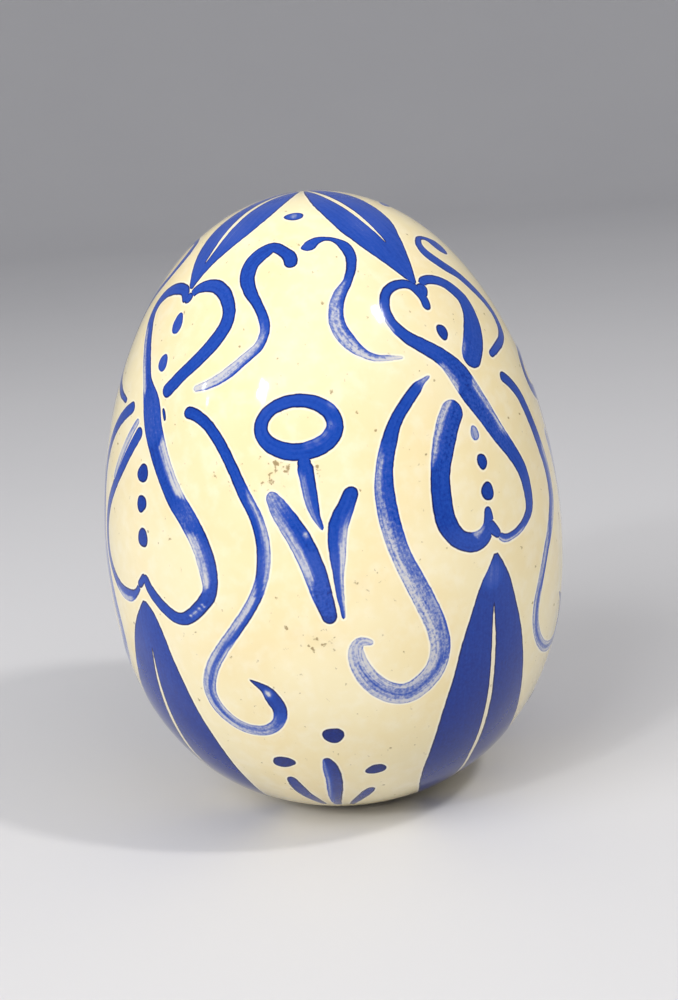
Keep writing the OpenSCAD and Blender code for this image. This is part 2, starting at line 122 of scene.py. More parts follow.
def nearest(q):
    """Azimuth and height of the surface place nearest to points in space."""
    r = np.hypot(q[..., 0], q[..., 1])
    high = (q[..., 2] - MID_Z) / HALF_H
    s = np.clip(high, -1, 1)
    for _ in range(8):
        s = np.sin(np.arctan2(high, r / (BELLY_R * belly(s))))
    return np.degrees(np.arctan2(q[..., 0], -q[..., 1])), MID_Z + HALF_H * s


# ------------------------------------------------------------------ camera
CAMERA_FROM_AXIS = 255.0    # mm
CAMERA_AZ = 6.3
CAMERA_H = 112.2
CAMERA_AIM = (1.36, 49.3)   # mm to the right of the axis, and height
CAMERA_ROLL = 5.08          # the egg leans to the left by this much
CAMERA_LENS = 57.0          # mm on a frame 36 mm high


def add_camera():
    data = bpy.data.cameras.new("camera")
    data.sensor_fit = "VERTICAL"
    data.sensor_height = 36
    data.lens = CAMERA_LENS
    data.clip_start = 0.01
    camera = bpy.data.objects.new("camera", data)
    bpy.context.scene.collection.objects.link(camera)
    a = math.radians(CAMERA_AZ)
    place = Vector((math.sin(a), -math.cos(a), 0)) * CAMERA_FROM_AXIS + Vector((0, 0, CAMERA_H))
    aim = Vector((math.cos(a), math.sin(a), 0)) * CAMERA_AIM[0] + Vector((0, 0, CAMERA_AIM[1]))
    turn = (aim - place).to_track_quat("-Z", "Y").to_matrix().to_4x4()
    roll = Matrix.Rotation(math.radians(-CAMERA_ROLL), 4, "Z")
    camera.matrix_world = Matrix.Translation(place * MM) @ turn @ roll
    bpy.context.scene.camera = camera


add_camera()

# ------------------------------------------------------------------ the drawing, as in CAD
PANELS = ["front", "right", "back", "left"]
COLUMNS = ["front_right", "back_right", "back_left", "front_left"]
QUARTER = 90
WOBBLE_AZ = 1.2             # hand variation between repeats, in degrees
WOBBLE_H = 0.6              # hand variation between repeats, in percent of height
TOP_LEAF_TURN = [-1, 1]
RING = [-0.2, 68.8]
RING_AZ = 9.2
RING_H = 3.5
# Brush points: azimuth, height, width in mm. Dabs: azimuth, height, half width, half height.
# Bottom leaves: height, left edge, midrib, right edge, bare width along the midrib in mm. Top
# leaves are seen from above: distance from the pole, then the same four, in mm.
STEM = [[0.9, 63.6, 2.4], [1.4, 61.3, 2.2], [1.9, 58.6, 2], [2.7, 56.2, 1.3], [3.9, 54.3, 0.5]]
TULIP_LEAF_LEFT = [[-7.4, 59.6, 1.8], [-5.7, 57.6, 2.8], [-3.5, 55.4, 3.3], [-1.4, 53, 3.5],
    [0.2, 50.5, 3.5], [1.5, 47.8, 3.4], [2.4, 45.2, 3.1], [3.3, 42.8, 2.6], [4, 40.8, 2.1]]
TULIP_LEAF_RIGHT = [[11.4, 59.5, 2.1], [9.6, 57.3, 2.5], [7.7, 55, 2.9], [6.9, 52.5, 2.7],
    [6.7, 50, 2.3], [6.5, 47.5, 1.6], [6.5, 45, 1.2], [6.7, 42.8, 0.8], [6.8, 41, 0.5]]
UPPER_LEFT = [[-1.2, 90.4, 2], [-1.8, 91.6, 2.2], [-5, 92.4, 1.9], [-9.5, 93, 2.1], [-14, 92.4, 2.7],
    [-17.8, 91.1, 2.7], [-18.4, 89.3, 2.5], [-16, 87.4, 2.1], [-12.5, 85.6, 1.6], [-9.9, 83.7, 1.6],
    [-9, 82, 1.5], [-10.5, 80, 1.5], [-14.5, 78.3, 1.6], [-20, 76.2, 1.7], [-25, 74.9, 1.4],
    [-29.5, 74.2, 0.9]]
UPPER_LEFT_WIDE = [[-12, 89.2, 2.2], [-15, 90.3, 2.9], [-19, 91.5, 1.2], [-24, 91.8, 0.9],
    [-28.5, 91, 1.6], [-29, 89.6, 2.2], [-25, 87.7, 2.2], [-20, 86, 2], [-15.8, 83.8, 2.1],
    [-12.2, 81.2, 2.1], [-11, 79, 2.1], [-13, 76.7, 1.9], [-17, 75.5, 1.6], [-22, 74.8, 1.5],
    [-27.8, 74.1, 1.2]]
UPPER_RIGHT = [[3.6, 92.6, 0.8], [6.5, 92.8, 2], [10, 93.4, 1.6], [14.5, 93.6, 1], [19, 93.3, 1],
    [22.6, 92.4, 1.9], [23.6, 91, 1.8], [22, 89.3, 1.5], [19, 87.5, 1.4], [15.5, 86, 1.9],
    [13.3, 84, 2.2], [13.2, 81.8, 2.4], [15.5, 79.6, 2.3], [18.5, 78, 1.6], [22, 77, 1.1],
    [26, 76.7, 0.8], [30, 76.5, 0.4]]
UPPER_RIGHT_LONG = [[3, 92.6, 0.8], [7, 93.2, 2], [11, 93.7, 1.4], [16, 93.7, 1.2], [20.5, 93, 1.7],
    [23, 91.5, 1.9], [21, 89, 1.6], [16, 86.8, 1.8], [11, 84, 2.1], [8, 80.5, 2.2], [8, 76.5, 2.1],
    [11, 74.2, 1.8], [16, 73, 1.6], [22, 71.9, 1.4], [29, 71.2, 0.9]]
LONG_LEFT = [[-31.3, 71, 1.9], [-27.5, 70.5, 1.9], [-23.5, 69, 1.8], [-19.5, 66.2, 1.8],
    [-16.3, 62.8, 1.8], [-13.6, 59.4, 1.9], [-11.2, 56.5, 2], [-9.9, 53.3, 2.1], [-9.9, 50, 2.1],
    [-11, 46.8, 1.9], [-13.5, 43.6, 1.9], [-17.5, 40.1, 1.9], [-22, 36.6, 2], [-26, 33, 2.2],
    [-28, 29.5, 2.3], [-27, 26.4, 2.3], [-23.5, 23.9, 2.1], [-19, 22.8, 2], [-14.5, 23, 1.9],
    [-11.4, 24.5, 1.9], [-10.3, 26.6, 2.3], [-11.6, 28.8, 2.4], [-13.3, 30.4, 1.5], [-16.4, 31.7, 0.3]]
LONG_LEFT_WIDE = [[-26.8, 70.8, 1.9], [-24, 69.6, 2], [-20.5, 67, 2.2], [-18.3, 63, 2.4],
    [-16.3, 58.5, 2.6], [-14.8, 54.5, 2.6], [-15.3, 50.5, 2.6], [-18.8, 46.8, 2.3], [-23.5, 43.3, 1.9],
    [-27.5, 39.2, 1.8], [-30, 35.5, 1.9], [-30, 32.3, 1.9], [-27.5, 29.3, 1.8], [-23, 27, 1.8],
    [-17, 25.8, 1.8], [-11, 26.2, 1.9], [-7.5, 28.5, 2.4], [-8.5, 31.5, 1.8], [-12.5, 33.8, 0.4]]
LONG_RIGHT = [[36.3, 73.4, 0.4], [33.5, 72.7, 1], [31.5, 72, 1.7], [28, 70.4, 1.9], [24, 68, 2],
    [21.3, 65, 2.4], [19.4, 61.7, 2.6], [18.7, 58, 3], [19.3, 53.5, 3.1], [20.8, 49.3, 3],
    [23.2, 45.3, 3.2], [25.5, 41.7, 3.3], [27.6, 38, 3.3], [28.6, 34.5, 3.3], [27.5, 31.3, 3.4],
    [24.3, 29, 3.5], [20, 27.8, 3.5], [15.5, 28.6, 3.3], [11.7, 30.8, 3.1], [9.4, 33.6, 2.8],
    [8.9, 36, 2.2], [10.3, 37.2, 1.5], [12.6, 36.8, 0.8]]
SPROUT = [[[-1.1, 17.3, 1.2], [-0.5, 15.5, 2.4], [-0.2, 12.5, 2.6], [-0.9, 9.5, 2.4], [-2, 6.5, 1.8],
    [-2.3, 4.4, 1]], [[-13.3, 13, 1.4], [-12.9, 11, 2.2], [-11.8, 8.7, 2.1], [-9.8, 6.6, 1.6],
    [-8, 4.8, 0.8]], [[11.4, 9.6, 1.2], [10, 8.6, 1.9], [7.6, 7, 1.7], [5, 5.4, 1.2], [3.6, 4.2, 0.7]]]
PANEL_DOTS = [[-1.5, 96.9, 1.6, 1], [1.7, 21.9, 1.55, 1.6], [-13.2, 16.6, 1.9, 1.25],
    [12.3, 14.2, 1.65, 1.2]]
CROSS_A = [[-0.8, 82.4, 1.4], [-0.6, 84.3, 1.8], [-3, 85.9, 1.7], [-8, 86.3, 1.6], [-13, 85.6, 1.6],
    [-15.6, 83.8, 1.6], [-15.3, 81.5, 1.7], [-12, 79.2, 2.1], [-7, 77.3, 2.5], [-2.2, 75.3, 3],
    [1, 72.8, 4.1], [3.2, 69.9, 4.3], [6, 66.6, 3.8], [8.8, 63.2, 3.3], [12, 60.2, 2.9], [14.8, 57, 2.7],
    [15.6, 53.8, 2.5], [15, 51, 2.1], [12, 49.2, 1.5], [8, 48.2, 1.3], [4, 48, 1.3], [2, 48.8, 1.2]]
UPPER_LOBE_A = [[1.6, 85.6, 1.3], [4, 86.2, 1.6], [9, 86, 1.8], [14, 84.9, 2.2], [17.6, 82.6, 2.9],
    [16.6, 80, 3.6], [13.4, 77.6, 4.3], [9.6, 75.4, 4.2], [6.8, 74, 3.8]]
LOWER_LOBE_A = [[-3.4, 68.6, 3.8], [-6.6, 66.6, 3.9], [-9.6, 63.5, 3.8], [-11.9, 59.8, 3.3],
    [-12.7, 56, 3.4], [-12.3, 52.6, 3.4], [-9.8, 50, 3], [-6, 48.9, 3], [-2.8, 49.3, 2.8],
    [-0.8, 50.8, 2.2], [-0.5, 53.2, 1.4]]
HEART_DOTS_A = [[0.8, 78.9, 0.95, 1.4], [0.5, 64.2, 0.75, 1.2], [0.7, 60, 0.95, 1.3],
    [0.5, 55.6, 1.2, 1.5]]
CROSS_B = [[1.4, 86.1, 1.5], [-2, 87.4, 1.9], [-8, 87.6, 2.2], [-14, 87, 2.2], [-18, 85.6, 2.2],
    [-18.2, 83.6, 2.2], [-14, 80.9, 2.3], [-9.2, 77.8, 2.3], [-5, 74.6, 2.4], [-0.6, 71.5, 4.2],
    [1.8, 68.6, 4.2], [4.8, 65.6, 3.9], [8.2, 62.3, 3.6], [12, 58.8, 3.5], [16.2, 55.6, 3.4],
    [19.4, 52.3, 3.3], [21.2, 48.5, 3.2], [21.2, 45.2, 2.5], [18, 42.6, 2.3], [14, 40.8, 2.1],
    [10.5, 40.6, 2], [6.5, 41.9, 2], [2.6, 44, 1.9], [0.6, 46, 1.5]]
UPPER_LOBE_B = [[3, 86.9, 1.5], [5.6, 87.8, 1.9], [10, 88.2, 2.2], [15, 88, 2.3], [19.5, 86.9, 2.3],
    [22.5, 85, 2.2], [22.5, 83, 2.3], [19.8, 80.8, 2.4], [15.2, 78.4, 2.3], [9.8, 76, 2.2],
    [4.6, 73.4, 2.4]]
LOWER_LOBE_B = [[-3.4, 67.6, 2], [-7, 65.1, 2.1], [-11.2, 61.9, 2.1], [-15.6, 58.6, 2], [-19.8, 55, 2],
    [-21.8, 51.5, 1.8], [-21.4, 47.8, 1.8], [-18, 44.6, 1.8], [-13, 42.5, 2.2], [-8, 42, 2.2],
    [-4, 42.9, 1.2], [-2, 44.3, 0.9]]
HEART_DOTS_B = [[1.8, 83, 1.05, 1.8], [0.6, 77.5, 1, 1.45], [-0.2, 61.6, 1.4, 1.5], [0, 57.1, 1.2, 1.4],
    [0.6, 52, 1.2, 1.6]]
BOTTOM_LEAF_A = [[46.3, -0.4, 0.2, 0.9, 0], [44.3, -2.6, 0.1, 2.7, 0], [42, -5.3, -0.4, 4.3, 0],
    [38.2, -8.1, -1.4, 6, 0.2], [33.5, -11, -1.4, 8.2, 0.75], [28.5, -13, -1.2, 10.2, 0.85],
    [24, -15, -0.8, 12.2, 0.9], [19.5, -16.3, -0.4, 14.8, 0.9], [15, -17.2, 0.2, 18.5, 0.85],
    [11.5, -17.4, 1, 22, 0.75], [8.3, -16, 3.1, 21, 0.65], [5.8, -13, 5, 18, 0.4], [3.8, -9, 5, 14, 0.2],
    [2.4, -4, 3.5, 9, 0.1], [1.6, 0, 2.1, 4.5, 0.1]]
BOTTOM_LEAF_B = [[42, -1.2, -0.5, 0.1, 0], [40.3, -3.6, -0.6, 3, 0], [37.2, -7.2, -0.8, 5.3, 0],
    [33.5, -10.3, -1, 7.1, 0.2], [28.5, -14.2, -2.2, 9.3, 0.65], [24, -18.5, -3.2, 11, 0.9],
    [19, -22, -4.4, 13, 1], [14, -23, -6.1, 14.1, 1], [10, -21.8, -7.2, 14.2, 0.9],
    [6.5, -18.5, -6.8, 12, 0.8], [4.2, -13.5, -5.6, 8.5, 0.5], [2.6, -8.5, -3.9, 4, 0.2],
    [1.6, -4.5, -2.4, 0, 0.1]]
TOP_LEAF_A = [[1, -0.6, -0.1, 0.6, 0.4], [3, -2.1, -0.6, 2, 0.6], [6, -3.8, -0.9, 3.4, 0.8],
    [9.5, -5.2, -1, 4.3, 0.9], [15, -5.8, -0.7, 4.5, 0.8], [18.5, -4.9, -0.3, 3.3, 0.3],
    [20.5, -3.9, -0.2, 2.5, 0], [22.8, -2.3, -0.1, 1.5, 0], [25, -0.4, 0, 0.4, 0]]
TOP_LEAF_B = [[1, -0.6, -0.1, 0.6, 0.4], [3, -2, -0.4, 2, 0.6], [6.2, -3.5, -0.7, 3.7, 0.8],
    [10.5, -4.4, -0.7, 4.9, 1], [14.6, -4.6, -0.3, 4.8, 0.9], [18.2, -3.8, 0.1, 3.4, 0.6],
    [20.2, -2.9, 0.1, 2.2, 0.2], [22, -1.7, 0, 1.2, 0], [23.6, -0.4, 0, 0.4, 0]]
BESIDE_WIDE = 3.5           # degrees that the long right scroll swings out less beside wide hearts
LONG_RIGHT_NEAR = [[a - BESIDE_WIDE, h, w] for a, h, w in LONG_RIGHT[9:]]
LONG_RIGHT_CLOSE = LONG_RIGHT[:9] + LONG_RIGHT_NEAR
LONG_RIGHT_BLUNT = [[35.3, 70.8, 1.9], [31, 69.6, 2.1], [26.3, 67.8, 2.1], [22, 65.3, 2.1],
    [18.7, 62, 2.2], [17.3, 58, 2.4], [17.8, 53.5, 2.5]] + LONG_RIGHT_NEAR

# How the brush was loaded along a stroke. Each row: place along it, counted in brush points; the
# loaded part's two edges across it, from -1 to 1 where 1 is the right-hand side of the brush's
# travel; the load there; the load beside it; graininess. 1 is a full brush, 0.4 a pale wash.
def full(at, grain=0.1):
    """A row of ink: a full brush right across the stroke."""
    return (at, -1.2, 1.2, 1, 1, grain)


FULL = [full(0)]
INK = {
    "stem": [full(0), (0.8, -1.2, 0.2, 1, 0.55, 0.2), (4, -1.2, 0.4, 0.8, 0.4, 0.3)],
    "tulip_leaf_left": [(0, -1.2, 1.2, 0.42, 0.4, 0.5), (1, -1, 0.2, 0.6, 0.4, 0.5),
        (2.2, -1.2, 0.1, 1, 0.4, 0.3), (5, -1.2, 0.1, 1, 0.42, 0.3), (5.6, -1.2, 0.5, 1, 0.55, 0.8),
        (7.2, -1.2, 1.2, 1, 0.8, 0.7), (8, -1.2, 1.2, 1.15, 1, 0.3)],
    "tulip_leaf_right": [full(0), (1.5, -0.3, 1.2, 1, 0.7, 0.2),
        (2.5, -0.3, 1.2, 0.97, 0.38, 0.3), (7, -0.1, 1.2, 0.85, 0.3, 0.4)],
    "upper_scroll_left": [(0, -1.2, 1.2, 1.05, 1, 0.1), full(8, 0.2),
        (10, -1.2, 0, 0.9, 0.6, 0.4), (11.2, -1.2, -0.35, 0.85, 0.38, 0.5),
        (14, -1.1, -0.6, 0.6, 0.34, 0.5), (15, -1, -0.6, 0.35, 0.28, 0.5)],
    "upper_scroll_right": [(0, -1.2, 1.2, 0.9, 0.9, 0.2), full(7.2, 0.2),
        (8.2, -1.2, 0.1, 0.9, 0.5, 0.4), (10, -1.2, -0.45, 0.85, 0.42, 0.8),
        (13, -1.2, -0.4, 0.75, 0.38, 0.8), (14.5, -1, 0, 0.45, 0.3, 0.5), (16, -1, 1, 0.15, 0.15, 0.5)],
    "long_scroll_left": [(0, -1.2, 1.2, 1.05, 1, 0.1), full(4.3, 0.2),
        (5.2, 0, 1.2, 0.97, 0.45, 0.3), (8.6, 0, 1.2, 0.97, 0.42, 0.3), (9.7, -1.2, -0.1, 1, 0.4, 0.3),
        (11, -1.2, -0.1, 0.97, 0.38, 0.3), (12, -0.5, 0.1, 0.85, 0.38, 0.3),
        (14, -0.4, 0.1, 0.75, 0.36, 0.4), (18, -0.3, 0.3, 0.65, 0.36, 0.4),
        (19.4, -0.6, 0.8, 0.95, 0.5, 0.3), (20.2, -1.2, 1.2, 1.1, 1, 0.1)],
    "long_scroll_right": [(0, -1, 1, 0.35, 0.35, 0.4), (1.2, -1, 1, 0.6, 0.5, 0.3),
        full(2), full(4.6, 0.2), (5.6, -1.2, 0.1, 0.97, 0.5, 0.6),
        (8, -1.2, 0, 0.85, 0.42, 0.8), (9.2, -1.2, 0.1, 0.58, 0.32, 0.8), (13, -1.2, 0.2, 0.56, 0.32, 0.8),
        (14.2, -0.3, 0.2, 0.75, 0.34, 0.7), (18, -0.25, 0.2, 0.75, 0.34, 0.6),
        (19.4, -0.2, 0.3, 0.45, 0.3, 0.6), (22, -0.2, 0.3, 0.3, 0.3, 0.5)],
    # Sprouts are loaded past a full brush, partly their own dark blue and partly painted shade of the egg's
    # low side
    "sprout": [(0, -1.2, 0.6, 1.2, 0.6, 0.1), (1, -1.2, 0.4, 1.2, 0.55, 0.2)],
    "sprout_side": [(0, -1.2, 1.2, 1.2, 1, 0.1)],
    "cross_a": [full(0), full(4.4), (5, -1.2, 0.5, 1, 0.4, 0.2),
        (6.3, -1.2, 0.5, 1, 0.4, 0.2), full(7), full(8.6, 0.2),
        (9, -1.2, 0.5, 1, 0.36, 0.5), (10.4, -1.2, 0.5, 1, 0.36, 0.6), (10.8, -0.35, 1.2, 1, 0.42, 0.7),
        (13, -0.35, 1.2, 0.95, 0.42, 0.7), full(14.2, 0.2), full(17, 0.2),
        (18.4, -0.3, 1.2, 0.95, 0.4, 0.3), (21, -0.3, 1.2, 0.9, 0.4, 0.3)],
    "upper_lobe_a": [(0, -1.2, 1.2, 0.95, 1, 0.2), full(6, 0.2),
        (7, -1.2, 0.6, 1, 0.55, 0.5), (8, -1.2, 0.7, 1, 0.6, 0.4)],
    "lower_lobe_a": [(0, -1.2, 0.35, 1, 0.4, 0.7), (2.4, -1.2, 0.35, 1, 0.4, 0.7),
        (3.2, -1.2, 1.2, 1.05, 1, 0.2), (6.6, -1.2, 1.2, 1.05, 1, 0.2), (7.3, -0.3, 1.2, 1, 0.4, 0.3),
        (8.6, -0.5, 1.2, 1, 0.5, 0.3), (9.4, -1.2, 1.2, 0.95, 1, 0.2)],
    "cross_b": [full(0), full(5), (5.6, -1.2, 0.3, 1, 0.4, 0.4),
        (8.2, -1.2, 0.3, 1, 0.4, 0.4), (8.8, -1.2, 1.2, 0.92, 0.9, 0.4), (10.4, -1.2, 1.2, 0.85, 0.85, 0.4),
        (11, -0.25, 1.2, 1.05, 0.3, 0.3), (13, -0.25, 1.2, 1, 0.3, 0.3), (13.6, -1.2, 1.2, 0.8, 0.8, 0.5),
        (14, -1.2, 1.2, 0.75, 0.75, 0.5), (14.6, -1.2, 0, 1, 0.32, 0.4), (16.6, -1.2, 0, 1, 0.32, 0.4),
        (17.6, -1.2, 1.2, 1.05, 1, 0.2)],
    "upper_lobe_b": [full(0, 0.2)],
    "lower_lobe_b": [(0, -1.2, 1.2, 0.95, 1, 0.3), full(7.2, 0.2),
        (7.8, -1.2, 0.1, 1, 0.35, 0.3), (9.2, -1.2, 0.1, 1, 0.35, 0.3), (10, -1.2, 1.2, 0.95, 1, 0.2)],
}

# Places where the load differs: azimuth, height, radius in mm, load
# The first four tulip spots are a painted highlight: a thin light streak along the lower right of the ring
TULIP_SPOTS = [(2, 66.3, 0.7, 0.7), (4.2, 66.7, 0.7, 0.6), (6.2, 67.5, 0.7, 0.6), (7.9, 68.6, 0.7, 0.7),
    (0, 53.7, 0.5, 0.4), (9, 71.5, 0.9, 0.7)]
SPOTS = {
    "tulip": TULIP_SPOTS,
    "long_scroll_left": [(-12.5, 29.5, 0.7, 0.3)],
    "dots": [(-1.5, 96.9, 0.7, 0.5)],
    "top_leaf_a": [(-3, 95, 3, 0.85)],
    "top_leaf_b": [(3, 95, 3, 0.85)],
    "bottom_leaf_a": [(-1.5, 43.3, 2, 0.8)],
    # The four spots on the cross stroke are a painted reflection of a window: a thin bare white streak
    "heart_cross_stroke_b": [(15.5, 41.3, 0.35, 0.1), (16.8, 41.8, 0.35, 0.1), (18, 42.4, 0.35, 0.1),
        (19.2, 43, 0.35, 0.1)],
    "bottom_leaf_b": [(-13, 30, 1.2, 0.8)],
}
# Brown iron specks in the glaze near a tulip: azimuth, height, radius in mm, how many
IRON = [(-7, 61.5, 1.6, 0.5), (-5, 63.2, 1.6, 0.5), (-2.4, 63.2, 1.2, 0.4), (4, 62.5, 1.5, 0.4),
    (-18, 61, 2.4, 0.3), (11, 46, 2.2, 0.35), (-4, 39, 2, 0.35), (0.5, 38, 1.8, 0.45),
    (3.4, 37.3, 1.3, 0.5), (13.5, 58, 2, 0.2), (-3, 60.4, 1.6, 0.3)]
# Small touches of the brush beside a stroke: their points and load
TOUCHES = {
    "tulip": [([[0.8, 65.2, 2], [0.9, 63, 2]], 1)],
    "upper_heart_lobe_b": [([[5, 71.2, 0.5], [5.8, 70.4, 0.7], [6.4, 69.6, 0.4]], 1)],
    "lower_heart_lobe_b": [([[-5.5, 69, 1], [-9.5, 66, 1.4], [-13.5, 62.5, 1.4], [-16.5, 59.5, 0.8]], 0.3)],
}
# Where a lobe runs into its cross stroke: the lobe's point, the cross stroke's point, two widths
JOINS = {
    "upper_heart_lobe_a": (0, 1, 2, 2.2),
    "upper_heart_lobe_b": (0, 0, 1.8, 1.8),
    "lower_heart_lobe_a": (9, 21, 2.2, 1.4),
    "lower_heart_lobe_b": (11, 23, 1.3, 1.4),
}
HEART_DOT_LOADS = {"a": [1.1, 0.5, 1.1, 1.1], "b": [0.85, 0.85, 1.1, 1.1, 1.1]}
HALO = 0.6                  # mm of glaze around a stroke that belongs to its piece
STATION = 0.45              # mm between stations along a stroke
ACROSS = 13                 # places across a stroke
LAYER = 0.012               # mm between strokes that cross
LAYERS = {"heart_cross_stroke": 1, "heart_dots": 2, "bottom_leaf": 2, "dots": 2}
SUNK = -0.09                # how far a piece reaches into the glaze


def smoothstep(low, high, x):
    t = np.clip((x - low) / (high - low), 0, 1)
    return t * t * (3 - 2 * t)


def placed(points, centre, copy):
    """Drawn points moved to their place around the egg, with the hand variation of a repeat."""
    points = [list(p) for p in points]
    for i, p in enumerate(points):
        amount = 0 if copy == 0 else 1
        phase = math.radians(25 * i + 97 * copy)
        p[0] += centre + amount * WOBBLE_AZ * math.sin(phase)
        p[1] += amount * WOBBLE_H * math.cos(phase)
    return np.array(points)


def curve_through(p, steps):
    """A smooth curve through control points, and its places counted in control points."""
    p = np.asarray(p, float)
    last = len(p) - 1
    rows = []
    for i in range(last):
        a, b, c, d = p[max(0, i - 1)], p[i], p[i + 1], p[min(last, i + 2)]
        t = (np.arange(steps) / steps)[:, None]
        rows.append(0.5 * (2 * b + (c - a) * t + (2 * a - 5 * b + 4 * c - d) * t ** 2
                           + (3 * b - a - 3 * c + d) * t ** 3))
    rows.append(p[last:])
    return np.concatenate(rows), np.arange(last * steps + 1) / steps


def along(path):
    """Lengths along a path of points in space."""
    step = np.linalg.norm(np.diff(path, axis=0), axis=1)
    return np.concatenate([[0], np.cumsum(step)])


def ink_at(rows, where):
    rows = np.array(rows, float)
    return [np.interp(where, rows[:, 0], rows[:, k]) for k in range(1, 6)]


def patch(az, z, edge, load, grain, u, v, layer, closed=False):
    """One painted patch: a grid of places with its paint values. Lifts follow from the edge."""
    inside = 0.02 + 0.04 * smoothstep(0, 0.5, edge) + layer * LAYER
    outside = -0.02 + (0.04 + layer * LAYER) * np.clip(1 + edge / HALO, 0, 1)
    lift = np.where(edge > 0, inside, outside)
    border = np.zeros(az.shape, bool)
    border[:, 0] = border[:, -1] = True
    if not closed:
        border[0] = border[-1] = True
    lift[border] = -0.02
    n, m = az.shape
    top, normal = on_egg(az, z, lift)
    here = top[n // 2, m // 2]
    facing = np.cross(top[n // 2, m // 2 + 1] - here, top[n // 2 + 1, m // 2] - here)
    outward = facing @ normal[n // 2, m // 2] > 0
    under, _ = on_egg(az, z, SUNK)
    points = np.concatenate([top.reshape(-1, 3), under.reshape(-1, 3)])
    normals = np.concatenate([normal.reshape(-1, 3), -normal.reshape(-1, 3)])
    rows = n if closed else n - 1
    i, j = [g.ravel() for g in np.meshgrid(np.arange(rows), np.arange(m - 1), indexing="ij")]
    k = (i + 1) % n
    faces = np.stack([i * m + j, i * m + j + 1, k * m + j + 1, k * m + j], -1)
    if not outward:
        faces = faces[:, ::-1]
    below = np.arange(n * m) + np.where(border.ravel(), 0, n * m)
    faces = np.concatenate([faces, below[faces][:, ::-1]])
    used, faces = np.unique(faces, return_inverse=True)
    faces = faces.reshape(-1, 4)
    values = {"edge": edge, "load": load, "grain": grain, "along": u, "across": v,
              "iron": iron(az, z)}
    values = {name: np.tile(value.ravel(), 2)[used] for name, value in values.items()}
    return points[used], normals[used], faces, values


def iron(az, z):
    """How many iron specks the glaze has at places on the egg, from 0 to 1."""
    total = np.zeros(np.shape(az))
    here, _ = plain_egg(az, z)
    for copy in range(4):
        for a, h, radius, amount in IRON:
            centre, _ = plain_egg(a * (1, -1, 1, -1)[copy] + QUARTER * copy + 2 * copy, h * PERCENT)
            gap = np.linalg.norm(here - centre, axis=-1)
            total = np.maximum(total, amount * np.exp(-(gap / radius) ** 2))
    return total


def with_spots(load, az, z, spots, centre):
    here, _ = plain_egg(az, z)
    for a, h, radius, target in spots:
        middle, _ = plain_egg(a + centre, h * PERCENT)
        gap = np.linalg.norm(here - middle, axis=-1)
        load = load + (target - load) * np.exp(-(gap / radius) ** 4)
    return load


def ribbon(curve, where, ink, spots, centre, layer, closed=False):
    """A brush stroke along a curve of azimuth, height and width."""
    place, _ = plain_egg(curve[:, 0], curve[:, 1] * PERCENT)
    if closed:
        place = np.concatenate([place, place[:1]])
        curve = np.concatenate([curve, curve[:1]])
        where = np.append(where, where[-1] + 1)
    length = along(place)
    half = curve[:, 2] * PERCENT / 2
    if closed:
        count = int(length[-1] / STATION)
        station = np.arange(count) * length[-1] / count
        beyond = np.zeros(count)
    else:
        caps = 0.4 * half[0], 0.4 * half[-1]
        start, stop = -caps[0] - HALO, length[-1] + caps[1] + HALO
        station = np.linspace(start, stop, int((stop - start) / STATION) + 3)
        first, last = 0.6 * half[0], length[-1] - 0.6 * half[-1]
        beyond = np.maximum(0, np.maximum(first - station, station - last))
    inner = np.clip(station, 0, length[-1])
    centre_line = np.stack([np.interp(inner, length, place[:, k]) for k in range(3)], -1)
    width = np.interp(inner, length, half)
    at = np.interp(inner, length, where)
    if closed:
        tangent = np.roll(centre_line, -1, 0) - np.roll(centre_line, 1, 0)
    else:
        tangent = np.gradient(centre_line, axis=0)
        before, after = inner <= 0, inner >= length[-1]
        tangent[before] = place[1] - place[0]
        tangent[after] = place[-1] - place[-2]
    tangent /= np.linalg.norm(tangent, axis=1)[:, None]
    centre_line = centre_line + tangent * (station - inner)[:, None]
    az, z = nearest(centre_line)
    _, up = plain_egg(az, z)
    side = np.cross(tangent, up)
    side /= np.linalg.norm(side, axis=1)[:, None]
    reach = np.sqrt(np.maximum(0.01, (width + HALO) ** 2 - beyond ** 2))
    # the inner side of a tight bend can't reach past the middle of the bend
    if closed:
        turn = (np.roll(tangent, -1, 0) - np.roll(tangent, 1, 0)) / 2
    else:
        turn = np.gradient(tangent, axis=0)
    bend = (turn * side).sum(1) / max(1e-6, abs(station[1] - station[0]))
    bend = np.convolve(np.pad(bend, 3, mode="edge"), np.ones(7) / 7, "valid")
    limit = 0.9 / np.maximum(np.abs(bend), 1e-3)
    t = np.linspace(-1, 1, ACROSS)
    t = np.sign(t) * np.abs(t) ** 0.8
    right = np.minimum(reach, np.where(bend > 0, limit, 99))
    left = np.minimum(reach, np.where(bend < 0, limit, 99))
    v = np.where(t[None] > 0, t[None] * right[:, None], t[None] * left[:, None])
    az, z = nearest(centre_line[:, None] + side[:, None] * v[..., None])
    edge = width[:, None] - np.hypot(v, beyond[:, None])
    core_from, core_to, core, beside, grain = [g[:, None] for g in ink_at(ink, at)]
    share = v / np.maximum(width, 0.3)[:, None]
    core_part = smoothstep(core_from - 0.12, core_from + 0.12, share)
    core_part = core_part * (1 - smoothstep(core_to - 0.12, core_to + 0.12, share))
    load = beside + (core - beside) * core_part
    load = with_spots(load, az, z, spots, centre)
    u = np.broadcast_to(station[:, None], v.shape)
    return patch(az, z, edge, load, np.broadcast_to(grain, v.shape), u, v, layer, closed)


def stroke(points, centre, copy, ink, spots=(), layer=0):
    curve, where = curve_through(placed(points, centre, copy), 10)
    curve[:, 2] = np.maximum(curve[:, 2], 0.3)
    return ribbon(curve, where, ink, spots, centre, layer)


def solid(load):
    """Ink of one load all along a stroke."""
    return [(0, -1.2, 1.2, load, load, 0.2)]


def touches(key, centre, copy):
    return [stroke(points, centre, copy, solid(load), (), 2) for points, load in TOUCHES.get(key, ())]


